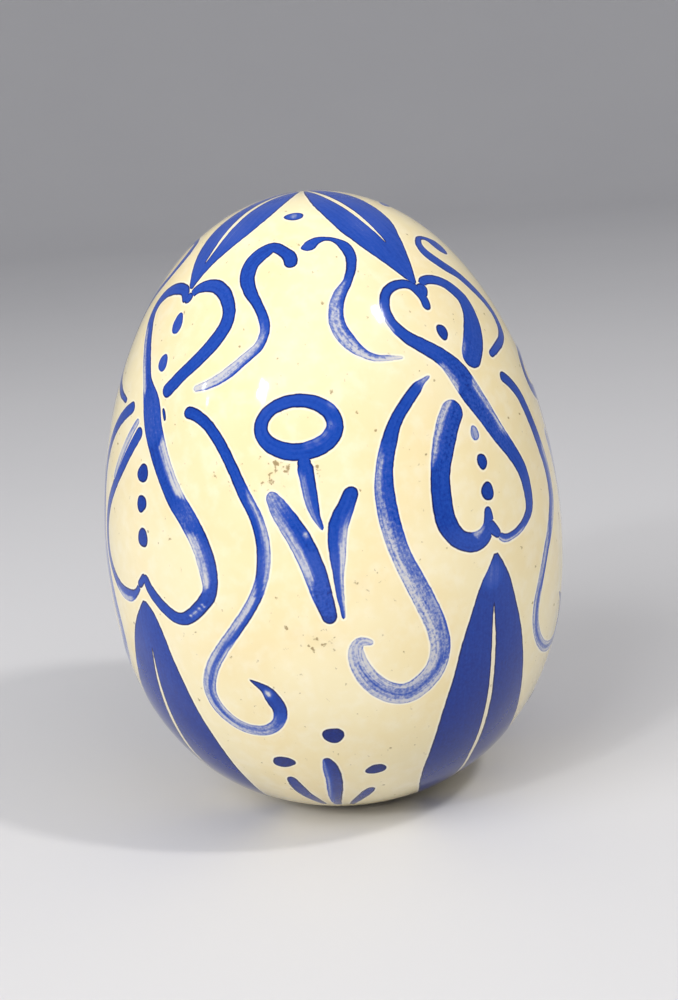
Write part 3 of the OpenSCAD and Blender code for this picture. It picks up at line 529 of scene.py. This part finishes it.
def joined(key, lobe, cross, centre, copy):
    """The short stroke that carries a lobe into its cross stroke."""
    if key not in JOINS:
        return []
    at_lobe, at_cross, wide_lobe, wide_cross = JOINS[key]
    start = placed(lobe, centre, copy)[at_lobe]
    end = placed(cross, centre, copy)[at_cross]
    start[2], end[2] = wide_lobe, wide_cross
    return [stroke([start, end], 0, 0, solid(1), (), 2)]


def dab(drawn, centre, copy, i, spots=(), layer=2, load=1.1):
    """An elliptical dab, slightly uneven in outline."""
    points = placed([drawn] * (i + 1), centre, copy)
    a, h, half_w, half_h = points[i]
    middle, up = plain_egg(a, h * PERCENT)
    east = np.array([math.cos(math.radians(a)), math.sin(math.radians(a)), 0])
    north = np.cross(up, east)
    x = np.linspace(-1, 1, 21)[:, None]
    y = np.linspace(-1, 1, ACROSS)[None]
    across = np.sin(x * math.pi / 2) * (half_w * PERCENT + HALO)
    tall = np.maximum(0.04, np.cos(x * math.pi / 2)) * (half_h * PERCENT + HALO) * y
    across, tall = np.broadcast_arrays(across, tall)
    turn = np.arctan2(tall / half_h, across / half_w)
    uneven = 1 + 0.06 * np.sin(2 * turn + a) + 0.05 * np.sin(3 * turn + 2 * h)
    size = np.hypot(across / half_w, tall / half_h) / PERCENT
    radius = np.hypot(across, tall)
    edge = np.where(size > 0.05, radius * (uneven / np.maximum(size, 0.05) - 1), min(half_w, half_h))
    az, z = nearest(middle + across[..., None] * east + tall[..., None] * north)
    full = with_spots(np.full(az.shape, load), az, z, spots, centre)
    return patch(az, z, edge, full, np.full(az.shape, 0.15), tall, across, layer)


def distance_to_outline(points, outline):
    """Distance from points to a closed outline in space."""
    a = outline
    b = np.roll(outline, -1, 0)
    ab = b - a
    flat = points.reshape(-1, 1, 3)
    t = np.clip(((flat - a) * ab).sum(-1) / np.maximum((ab * ab).sum(-1), 1e-9), 0, 1)
    gap = np.linalg.norm(flat - (a + ab * t[..., None]), axis=-1).min(1)
    return gap.reshape(points.shape[:-1])


def leaf(rows, to_place, spots, centre, layer, load):
    """A leaf with a bare midrib, from rows of left edge, midrib, right edge and bare width.

    The load goes from its first value at the first row to its second at the last.
    """
    row, _ = curve_through(rows, 6)
    edge_l = to_place(row[:, 0], row[:, 1])
    mid = to_place(row[:, 0], row[:, 2])
    edge_r = to_place(row[:, 0], row[:, 3])
    bare = np.maximum(0, row[:, 4]) * PERCENT
    outline = np.concatenate([edge_l, edge_r[::-1]])
    # two more stations past each tip carry the glaze around it
    def extended(line):
        first, last = line[0], line[-1]
        a, b = mid[0] - mid[1], mid[-1] - mid[-2]
        a, b = a / np.linalg.norm(a), b / np.linalg.norm(b)
        more = np.array([HALO, HALO / 2])[:, None]
        return np.concatenate([first + a * more, line, last + b * more[::-1]])
    edge_l, edge_r, mid_line = extended(edge_l), extended(edge_r), extended(mid)
    bare = np.pad(bare, 2, mode="edge")
    out_l = edge_l - edge_r
    wide = np.linalg.norm(out_l, axis=1)[:, None]
    out_l = out_l / np.maximum(wide, 1e-6)
    far_l, far_r = edge_l + out_l * HALO, edge_r - out_l * HALO
    t = np.linspace(0, 1, 15)[:, None, None]
    half_a = far_l + (mid_line - far_l) * t ** 0.9
    half_b = mid_line + (far_r - mid_line) * (1 - (1 - t) ** 0.9)
    grid = np.concatenate([half_a, half_b[1:]]).transpose(1, 0, 2)
    az, z = nearest(grid)
    flat, _ = plain_egg(az, z)
    gap = distance_to_outline(flat, outline)
    across = np.linalg.norm(grid - mid_line[:, None], axis=-1)
    col = np.arange(grid.shape[1])[None]
    half_l = np.linalg.norm(edge_l - mid_line, axis=1)[:, None]
    half_r = np.linalg.norm(edge_r - mid_line, axis=1)[:, None]
    inside = across <= np.where(col < 15, half_l, half_r) + 1e-6
    inside[:2] = inside[-2:] = False
    edge = np.where(inside, gap, -gap)
    closed = 0.6 * (1 - smoothstep(0.05, 0.2, bare))
    edge = np.minimum(edge, across - (bare / 2 - 0.04 - closed)[:, None])
    u = np.broadcast_to(along(mid_line)[:, None], az.shape)
    v = np.where(col < 15, -across, across)
    share = np.clip(u / u.max(), 0, 1)
    full = with_spots(load[0] + (load[1] - load[0]) * share, az, z, spots, centre)
    return patch(az, z, edge, full, np.full(az.shape, 0.12), u, v, layer)


def bottom_leaf(rows, centre, spots, layer):
    def to_place(h, a):
        return plain_egg(centre + a, h * PERCENT)[0]
    # The load darkens from the leaf's upper tip towards the foot: painted shade of the egg's low side
    return leaf(rows, to_place, spots, centre, layer, (1.08, 1.35))


def top_leaf(rows, centre, spots, layer):
    def to_place(out, across):
        r = np.hypot(out, across) * BELLY_R / 37.4
        az = centre + np.degrees(np.arctan2(across, out))
        s = np.full(r.shape, 0.95)
        for _ in range(14):
            s = np.sqrt(np.maximum(0, 1 - (r / BELLY_R / belly(s)) ** 2))
        return plain_egg(az, MID_Z + HALF_H * s)[0]
    return leaf(rows, to_place, spots, centre, layer, (0.98, 0.98))


# ------------------------------------------------------------------ nodes and meshes
def node(tree, kind, inputs=None, **settings):
    """A shader node. Inputs are sockets to link, or constants."""
    made = tree.nodes.new("ShaderNode" + kind)
    for key, value in settings.items():
        setattr(made, key, value)
    for key, value in (inputs or {}).items():
        if isinstance(value, bpy.types.NodeSocket):
            tree.links.new(value, made.inputs[key])
        else:
            made.inputs[key].default_value = value
    return made


def maths(tree, operation, a, b=0.0, clamp=False):
    return node(tree, "Math", {0: a, 1: b}, operation=operation, use_clamp=clamp).outputs[0]


def times(tree, a, b):
    return maths(tree, "MULTIPLY", a, b)


def plus(tree, a, b):
    return maths(tree, "ADD", a, b)


def minus(tree, a, b):
    return maths(tree, "SUBTRACT", a, b)


def fade(tree, value, low, high, to_low=0.0, to_high=1.0):
    """A smooth change between two values of a socket."""
    return node(tree, "MapRange", {"Value": value, "From Min": low, "From Max": high,
                "To Min": to_low, "To Max": to_high}, interpolation_type="SMOOTHSTEP").outputs[0]


def linear(r, g, b):
    """A screen colour, 0 to 255, as the linear colour that shaders take."""
    parts = [c / 255 for c in (r, g, b)]
    return [c / 12.92 if c <= 0.04045 else ((c + 0.055) / 1.055) ** 2.4 for c in parts] + [1]


def mixed(tree, factor, a, b):
    return node(tree, "Mix", {0: factor, 6: a, 7: b}, data_type="RGBA").outputs[2]


def noise(tree, where, scale, detail=2.0):
    return node(tree, "TexNoise", {"Vector": where, "Scale": scale, "Detail": detail}).outputs[0]


def attribute(tree, name):
    return node(tree, "Attribute", attribute_name=name).outputs["Fac"]


CREAM = (241, 228, 186)
CREAM_WARM = (239, 222, 174)
CREAM_PALE = (247, 240, 218)
IRON_BROWN = (138, 114, 70)


def cream_colour(tree, where):
    """Mottled cream glaze with iron specks, the same on the skin and on the glaze around strokes."""
    cloud = fade(tree, noise(tree, where, 55, 3), 0.36, 0.64)
    colour = mixed(tree, cloud, linear(*CREAM_WARM), linear(*CREAM))
    fine = fade(tree, noise(tree, where, 420, 4), 0.4, 0.75)
    colour = mixed(tree, times(tree, fine, 0.35), colour, linear(*CREAM_PALE))
    iron = attribute(tree, "iron")
    # iron comes up as ragged flecks, thickest in the middle of each cluster
    fleck = noise(tree, where, 900, 4)
    level = minus(tree, 0.685, times(tree, iron, 0.3))
    fleck = maths(tree, "MULTIPLY", minus(tree, fleck, level), 14, clamp=True)
    stain = times(tree, fade(tree, iron, 0.05, 0.6), 0.18)
    colour = mixed(tree, stain, colour, linear(218, 196, 150))
    return mixed(tree, times(tree, fleck, 0.8), colour, linear(*IRON_BROWN))


def glaze_bump(tree, where):
    """The faint orange-peel of a fired glaze."""
    height = noise(tree, where, 260, 2)
    return node(tree, "Bump", {"Height": height, "Strength": 0.12, "Distance": 0.0002}).outputs[0]


def new_material(name):
    material = bpy.data.materials.new(name)
    material.use_nodes = True
    tree = material.node_tree
    shader = tree.nodes["Principled BSDF"]
    where = tree.nodes.new("ShaderNodeTexCoord").outputs["Object"]
    return material, tree, shader, where


def set_gloss(shader):
    shader.inputs["Roughness"].default_value = 0.08
    shader.inputs["IOR"].default_value = 1.45
    shader.inputs["Specular IOR Level"].default_value = 0.32
    shader.inputs["Coat Weight"].default_value = 0.2
    shader.inputs["Coat Roughness"].default_value = 0.03
    shader.inputs["Coat IOR"].default_value = 1.5


def cream_material():
    material, tree, shader, where = new_material("cream_glaze")
    tree.links.new(cream_colour(tree, where), shader.inputs["Base Color"])
    tree.links.new(glaze_bump(tree, where), shader.inputs["Normal"])
    set_gloss(shader)
    return material


# Pigment over cream, from a thin wash to a pooled stroke, against density. The darkest stops are partly
# pooled paint and partly painted shade for the marks low on the egg
PIGMENT = [(0.1, (222, 216, 200)), (0.3, (186, 188, 200)), (0.45, (140, 149, 188)),
           (0.6, (94, 113, 178)), (0.8, (48, 80, 172)), (1.0, (24, 70, 168)), (1.2, (10, 46, 136)),
           (1.4, (4, 22, 90))]
DENSEST = 1.4


def cobalt_material():
    material, tree, shader, where = new_material("cobalt_brushwork")
    edge = attribute(tree, "edge")
    load = attribute(tree, "load")
    grain = attribute(tree, "grain")
    brush = node(tree, "CombineXYZ", {0: times(tree, attribute(tree, "along"), 0.14),
        1: times(tree, attribute(tree, "across"), 2.6)}).outputs[0]
    shift = node(tree, "VectorMath", {0: where, 1: (60, 60, 60)}, operation="MULTIPLY").outputs[0]
    brush = node(tree, "VectorMath", {0: brush, 1: shift}, operation="ADD").outputs[0]
    streak = minus(tree, noise(tree, brush, 1.0, 3), 0.5)
    speckle = minus(tree, noise(tree, where, 2300, 2), 0.5)
    ragged = minus(tree, noise(tree, where, 900, 3), 0.5)
    worn = plus(tree, edge, times(tree, ragged, 0.22))
    mask = fade(tree, worn, -0.08, 0.05)
    thin = minus(tree, 1.3, load)
    density = plus(tree, load, times(tree, streak, times(tree, thin, 1.1)))
    rough = times(tree, speckle, plus(tree, times(tree, grain, 1.0), 0.12))
    density = plus(tree, density, rough)
    density = maths(tree, "MAXIMUM", density, times(tree, load, 0.7))
    rim = times(tree, fade(tree, worn, 0.32, 0.08), 0.4)
    density = plus(tree, density, times(tree, rim, load))
    ramp = node(tree, "ValToRGB", {0: maths(tree, "DIVIDE", density, DENSEST)})
    stops = ramp.color_ramp.elements
    stops[0].position = PIGMENT[0][0] / DENSEST
    for at, _ in PIGMENT[1:-1]:
        stops.new(at / DENSEST)
    for stop, (_, colour) in zip(stops, PIGMENT):
        stop.color = linear(*colour)
    cream = cream_colour(tree, where)
    halo = times(tree, fade(tree, edge, -HALO * 0.8, -0.15), 0.7)
    cream = mixed(tree, halo, cream, linear(*CREAM_PALE))
    cover = times(tree, mask, fade(tree, density, 0.0, 0.2))
    colour = mixed(tree, cover, cream, ramp.outputs[0])
    tree.links.new(colour, shader.inputs["Base Color"])
    tree.links.new(glaze_bump(tree, where), shader.inputs["Normal"])
    set_gloss(shader)
    return material


def clay_material():
    material, tree, shader, where = new_material("fired_clay")
    cloud = fade(tree, noise(tree, where, 90, 4), 0.35, 0.65)
    colour = mixed(tree, cloud, linear(203, 186, 160), linear(222, 208, 184))
    grit = fade(tree, noise(tree, where, 1800, 3), 0.56, 0.7)
    colour = mixed(tree, times(tree, grit, 0.35), colour, linear(168, 146, 116))
    tree.links.new(colour, shader.inputs["Base Color"])
    bump = node(tree, "Bump", {"Height": noise(tree, where, 1500, 4), "Strength": 0.5,
                "Distance": 0.0003})
    tree.links.new(bump.outputs[0], shader.inputs["Normal"])
    shader.inputs["Roughness"].default_value = 0.85
    return material


def make_object(name, points, faces, material, normals=None, values=None):
    """A mesh object in metres from points in mm."""
    mesh = bpy.data.meshes.new(name)
    faces = [[int(c) for c in dict.fromkeys(face)] for face in faces]
    mesh.from_pydata((np.asarray(points) * MM).tolist(), [], [f for f in faces if len(f) > 2])
    for key, value in (values or {}).items():
        mesh.attributes.new(key, "FLOAT", "POINT").data.foreach_set("value", value.astype(np.float32))
    mesh.shade_smooth()
    if normals is not None:
        mesh.normals_split_custom_set_from_vertices(normals.tolist())
    mesh.materials.append(material)
    made = bpy.data.objects.new(name, mesh)
    bpy.context.scene.collection.objects.link(made)
    return made


def finish_piece(made, stands_for):
    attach(made, "root")
    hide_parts(stands_for)


def painted_piece(name, stands_for, patches, material):
    points, normals, faces, values, count = [], [], [], [], 0
    for p, n, f, v in patches:
        points.append(p)
        normals.append(n)
        faces.append(f + count)
        values.append(v)
        count += len(p)
    merged = {key: np.concatenate([v[key] for v in values]) for key in values[0]}
    made = make_object(name, np.concatenate(points), np.concatenate(faces), material,
                       np.concatenate(normals), merged)
    finish_piece(made, stands_for)


# ------------------------------------------------------------------ the painting
def panel_patches(motif, copy):
    centre = QUARTER * copy
    layer = LAYERS.get(motif, 0)
    spots = SPOTS.get(motif, ())
    hand = 2 if copy == 2 else 0
    if motif == "tulip":
        ring_centre = placed([RING], centre, copy)[0]
        a = np.radians(np.arange(0, 360, 3))
        ring = np.stack([ring_centre[0] + RING_AZ * np.cos(a), ring_centre[1] + RING_H * np.sin(a),
                         2.3 - 0.3 * np.sin(a) + 0.2 * np.cos(a)], -1)
        return [ribbon(ring, np.arange(len(a)), FULL, spots, centre, 3, True),
                stroke(STEM, centre, copy, INK["stem"], (), 2),
                stroke(TULIP_LEAF_LEFT, centre, copy, INK["tulip_leaf_left"], spots, 1),
                stroke(TULIP_LEAF_RIGHT, centre, copy, INK["tulip_leaf_right"], spots, 0)
                ] + touches(motif, centre, copy)
    if motif == "upper_scroll_left":
        if copy == 1:
            return [stroke(UPPER_LEFT_WIDE, centre, 0, solid(0.95))]
        return [stroke(UPPER_LEFT, centre, hand, INK[motif])]
    if motif == "upper_scroll_right":
        if copy == 3:
            return [stroke(UPPER_RIGHT_LONG, centre, 0, FULL)]
        return [stroke(UPPER_RIGHT, centre, hand, INK[motif])]
    if motif == "long_scroll_left":
        if copy == 1:
            ink = [(row[0] * 0.8,) + row[1:] for row in INK[motif]]
            return [stroke(LONG_LEFT_WIDE, centre, 0, ink)]
        return [stroke(LONG_LEFT, centre, hand, INK[motif], spots)]
    if motif == "long_scroll_right":
        if copy == 3:
            ink = FULL + [(row[0] - 2,) + row[1:] for row in INK[motif] if row[0] > 5]
            return [stroke(LONG_RIGHT_BLUNT, centre, 0, ink)]
        return [stroke(LONG_RIGHT_CLOSE if copy == 1 else LONG_RIGHT, centre, hand, INK[motif])]
    if motif == "sprout":
        return [stroke(SPROUT[0], centre, copy, INK["sprout"], (), 1),
                stroke(SPROUT[1], centre, copy, INK["sprout_side"]),
                stroke(SPROUT[2], centre, copy, INK["sprout_side"])]
    # The three low dots are loaded darker than the crown dot, partly their own dark blue and partly painted
    # shade of the egg's low side
    loads = [0.95, 1.3, 1.3, 1.3]
    return [dab(drawn, centre, copy, i, spots, layer, loads[i]) for i, drawn in enumerate(PANEL_DOTS)]


def column_patches(motif, column):
    centre = QUARTER * (column + 0.5)
    copy = 0 if column in (0, 3) else column
    kind = "a" if column % 2 == 0 else "b"
    layer = LAYERS.get(motif, 0)
    spots = SPOTS.get(f"{motif}_{kind}", ())
    if motif == "top_leaf":
        rows = TOP_LEAF_A if kind == "a" else TOP_LEAF_B
        return [top_leaf(rows, centre + TOP_LEAF_TURN[0 if kind == "a" else 1], spots, layer)]
    if motif == "bottom_leaf":
        rows = BOTTOM_LEAF_A if kind == "a" else BOTTOM_LEAF_B
        return [bottom_leaf(rows, centre, spots, layer)]
    if motif == "heart_dots":
        drawn = HEART_DOTS_A if kind == "a" else HEART_DOTS_B
        loads = HEART_DOT_LOADS[kind]
        return [dab(d, centre, copy, i, (), layer, loads[i]) for i, d in enumerate(drawn)]
    lines = {"upper_heart_lobe": (UPPER_LOBE_A, UPPER_LOBE_B, "upper_lobe_"),
             "heart_cross_stroke": (CROSS_A, CROSS_B, "cross_"),
             "lower_heart_lobe": (LOWER_LOBE_A, LOWER_LOBE_B, "lower_lobe_")}
    line_a, line_b, ink = lines[motif]
    line, cross = (line_a, CROSS_A) if kind == "a" else (line_b, CROSS_B)
    key = f"{motif}_{kind}"
    return ([stroke(line, centre, copy, INK[ink + kind], spots, layer)]
            + joined(key, line, cross, centre, copy) + touches(key, centre, copy))


PANEL_MOTIFS = ["tulip", "upper_scroll_left", "upper_scroll_right", "long_scroll_left",
                "long_scroll_right", "sprout", "dots"]
COLUMN_MOTIFS = ["top_leaf", "upper_heart_lobe", "heart_cross_stroke", "lower_heart_lobe",
                 "bottom_leaf", "heart_dots"]


def paint_egg():
    cobalt = cobalt_material()
    for copy, panel in enumerate(PANELS):
        for motif in PANEL_MOTIFS:
            patches = panel_patches(motif, copy)
            painted_piece(f"painted_{panel}_{motif}", f"{panel}_{motif}", patches, cobalt)
    for column, place in enumerate(COLUMNS):
        for motif in COLUMN_MOTIFS:
            patches = column_patches(motif, column)
            painted_piece(f"painted_{place}_{motif}", f"{place}_{motif}", patches, cobalt)


# ------------------------------------------------------------------ glaze and clay
AROUND = 384                # places around the egg in the skin and the shell


def turned_faces(rows, around):
    """Quads between turned rings."""
    faces = []
    for i in range(rows - 1):
        for j in range(around):
            k = (j + 1) % around
            faces.append((i * around + j, i * around + k, (i + 1) * around + k, (i + 1) * around + j))
    return faces


def glaze_skin():
    """The glaze as a closed skin with a rolled lower lip, from its inside over the lip to the crown."""
    azimuths = np.arange(AROUND) * 360 / AROUND
    low = math.asin((GLAZE_EDGE_H + 0.25 - MID_Z) / HALF_H)
    high = math.radians(89.7)
    outer = MID_Z + HALF_H * np.sin(np.linspace(low, high, 190))
    inner = MID_Z + HALF_H * np.sin(np.linspace(high, low, 36))
    rings = [on_egg(azimuths, z, -GLAZE_T + 0.02) for z in inner]
    # the lip: half a turn of a small roll between the skin's two sides
    lip_z = GLAZE_EDGE_H + 0.25
    for k in range(1, 6):
        turn = math.pi * k / 6
        lift = -GLAZE_T / 2 - (GLAZE_T / 2 - 0.02) * math.cos(turn)
        drop = 0.22 * math.sin(turn) + 0.05 * np.sin(np.radians(azimuths) * 7) * math.sin(turn)
        rings.append(on_egg(azimuths, lip_z - drop, lift))
    rings += [on_egg(azimuths, z, 0.0) for z in outer]
    points = np.concatenate([ring[0] for ring in rings])
    crown_in, _ = on_egg(0.0, EGG_H - 1e-6, -GLAZE_T + 0.02)
    crown_out, _ = on_egg(0.0, EGG_H - 1e-6, 0.0)
    count = len(points)
    points = np.concatenate([points, [crown_in, crown_out]])
    faces = turned_faces(len(rings), AROUND)
    last = (len(rings) - 1) * AROUND
    for j in range(AROUND):
        k = (j + 1) % AROUND
        faces.append((count, k, j))
        faces.append((last + j, last + k, count + 1))
    az = np.degrees(np.arctan2(points[:, 0], -points[:, 1]))
    made = make_object("glaze_skin", points, faces, cream_material(), None,
                       {"iron": iron(az, np.clip(points[:, 2], 0, EGG_H))})
    finish_piece(made, "glaze_coat")


def clay_shell():
    """The cast clay body: foot with a softened rim, pour hole, and hollow."""
    azimuths = np.radians(np.arange(AROUND) * 360 / AROUND)
    outside = []
    low = math.asin((GLAZE_EDGE_H + 0.2 - MID_Z) / HALF_H)
    for z in MID_Z + HALF_H * np.sin(np.linspace(low, math.radians(89.5), 60)):
        point, normal = plain_egg(90, z)
        point = point - normal * GLAZE_T
        outside.append((point[0], point[2]))
    inset = GLAZE_T + WALL_T
    inside = []
    for z in MID_Z + HALF_H * np.sin(np.linspace(math.radians(89.5), low, 60)):
        point, normal = plain_egg(90, z)
        point = point - normal * inset
        if point[2] > BASE_T + 0.6:
            inside.append((point[0], point[2]))
    foot_r = float(egg_radius(0.0)) - GLAZE_T
    foot = [(POUR_R, BASE_T - 0.5), (POUR_R, 0.7)]
    foot += [(POUR_R + 0.7 - 0.7 * math.cos(t), 0.7 - 0.7 * math.sin(t))
             for t in np.radians([20, 45, 70, 90])]
    foot += [(foot_r - 0.5, 0.0), (foot_r - 0.2, 0.04), (foot_r + 0.05, 0.16)]
    floor = [(inside[-1][0] - 0.6, BASE_T + 0.1), (inside[-1][0] - 2, BASE_T),
             (POUR_R + 0.5, BASE_T), (POUR_R + 0.1, BASE_T - 0.15)]
    profile = foot + outside
    rings = []
    for r, z in profile + [(0.0, EGG_H - GLAZE_T)] + [(0.0, EGG_H - inset)] + inside + floor:
        rings.append(np.stack([r * np.sin(azimuths), -r * np.cos(azimuths), np.full(AROUND, z)], -1))
    pole_out = len(profile)
    points, faces, start = [], [], []
    for i, ring in enumerate(rings):
        start.append(len(points))
        if i in (pole_out, pole_out + 1):
            points.append(ring[0])
        else:
            points.extend(ring)
    def index(i, j):
        return start[i] + (0 if i in (pole_out, pole_out + 1) else j % AROUND)
    total = len(rings)
    for i in range(total):
        if i == pole_out:
            continue
        k = (i + 1) % total
        for j in range(AROUND):
            faces.append((index(i, j), index(i, j + 1), index(k, j + 1), index(k, j)))
    made = make_object("clay_shell", points, faces, clay_material())
    finish_piece(made, "ceramic_shell")


glaze_skin()
clay_shell()
paint_egg()


# ------------------------------------------------------------------ studio
def aim(made, target):
    made.rotation_euler = (Vector(target) - made.location).to_track_quat("-Z", "Y").to_euler()


DAYLIGHT = (1.0, 0.99, 0.97)
LAMPLIGHT = (1.0, 0.97, 0.92)
WHITE = (1, 1, 1)
# Lamps: name, azimuth, elevation, distance, width and height in metres, watts, colour, and whether
# the glaze mirrors it. The panes are one window that the glaze mirrors above the tulip.
PANE = (1.0, 0.016, 0.032, 0.35, WHITE, True)
FAR_PANE = (1.0, 0.012, 0.03, 0.08, WHITE, True)
LAMPS = [
    ("key", -34, 36, 1.0, 0.7, 0.6, 6.5, DAYLIGHT, False),
    ("fill", 40, 50, 1.0, 0.7, 0.5, 1.7, DAYLIGHT, False),
    ("lamp", 61, 50, 0.8, 0.045, 0.075, 1.8, LAMPLIGHT, True),
    ("window_pane", -30.2, 34.2, *PANE),
    ("window_pane", -31, 31.6, *PANE),
    ("window_pane", -27.2, 33.6, *PANE),
    ("window_pane", -28.2, 30.8, *PANE),
    ("far_window", -67, 28, *FAR_PANE),
    ("far_window", -62.5, 25.5, *FAR_PANE),
]


def softbox(name, az, elevation, distance, width, height, power, colour, mirrored):
    """A rectangular lamp that looks at the egg's middle. Distances in metres."""
    data = bpy.data.lights.new(name, "AREA")
    data.shape = "RECTANGLE"
    data.size = width
    data.size_y = height
    data.energy = power
    data.color = colour
    lamp = bpy.data.objects.new(name, data)
    a, e = math.radians(az), math.radians(elevation)
    lamp.location = Vector((math.sin(a) * math.cos(e), -math.cos(a) * math.cos(e), math.sin(e))) * distance
    lamp.location += Vector((0, 0, 0.05))
    bpy.context.scene.collection.objects.link(lamp)
    aim(lamp, (0, 0, 0.05))
    lamp.visible_glossy = mirrored


def studio():
    world = bpy.data.worlds.new("studio")
    world.use_nodes = True
    world.node_tree.nodes["Background"].inputs["Color"].default_value = linear(236, 236, 240)
    world.node_tree.nodes["Background"].inputs["Strength"].default_value = 0.42
    bpy.context.scene.world = world
    for lamp in LAMPS:
        softbox(*lamp)
    bpy.context.scene.view_settings.view_transform = "Standard"


def stage_floor():
    """A pale floor that sweeps up far away into a round backdrop."""
    material, tree, shader, where = new_material("studio_floor")
    cloud = noise(tree, where, 6, 3)
    colour = mixed(tree, cloud, linear(214, 214, 217), linear(219, 219, 221))
    tree.links.new(colour, shader.inputs["Base Color"])
    shader.inputs["Roughness"].default_value = 0.9
    bend = np.radians(np.linspace(0, 90, 24))
    profile = [(r, 0.0) for r in (60, 200, 600, 1300)]
    profile += [(1300 + 900 * math.sin(t), 900 - 900 * math.cos(t)) for t in bend[1:]]
    profile += [(2200, 1300)]
    count = 96
    turn = np.arange(count) * 2 * math.pi / count
    points = [(r * math.cos(t), r * math.sin(t), z) for r, z in profile for t in turn]
    faces = [list(range(count))] + [face[::-1] for face in turned_faces(len(profile), count)]
    make_object("studio_floor", points, faces, material)


studio()
stage_floor()
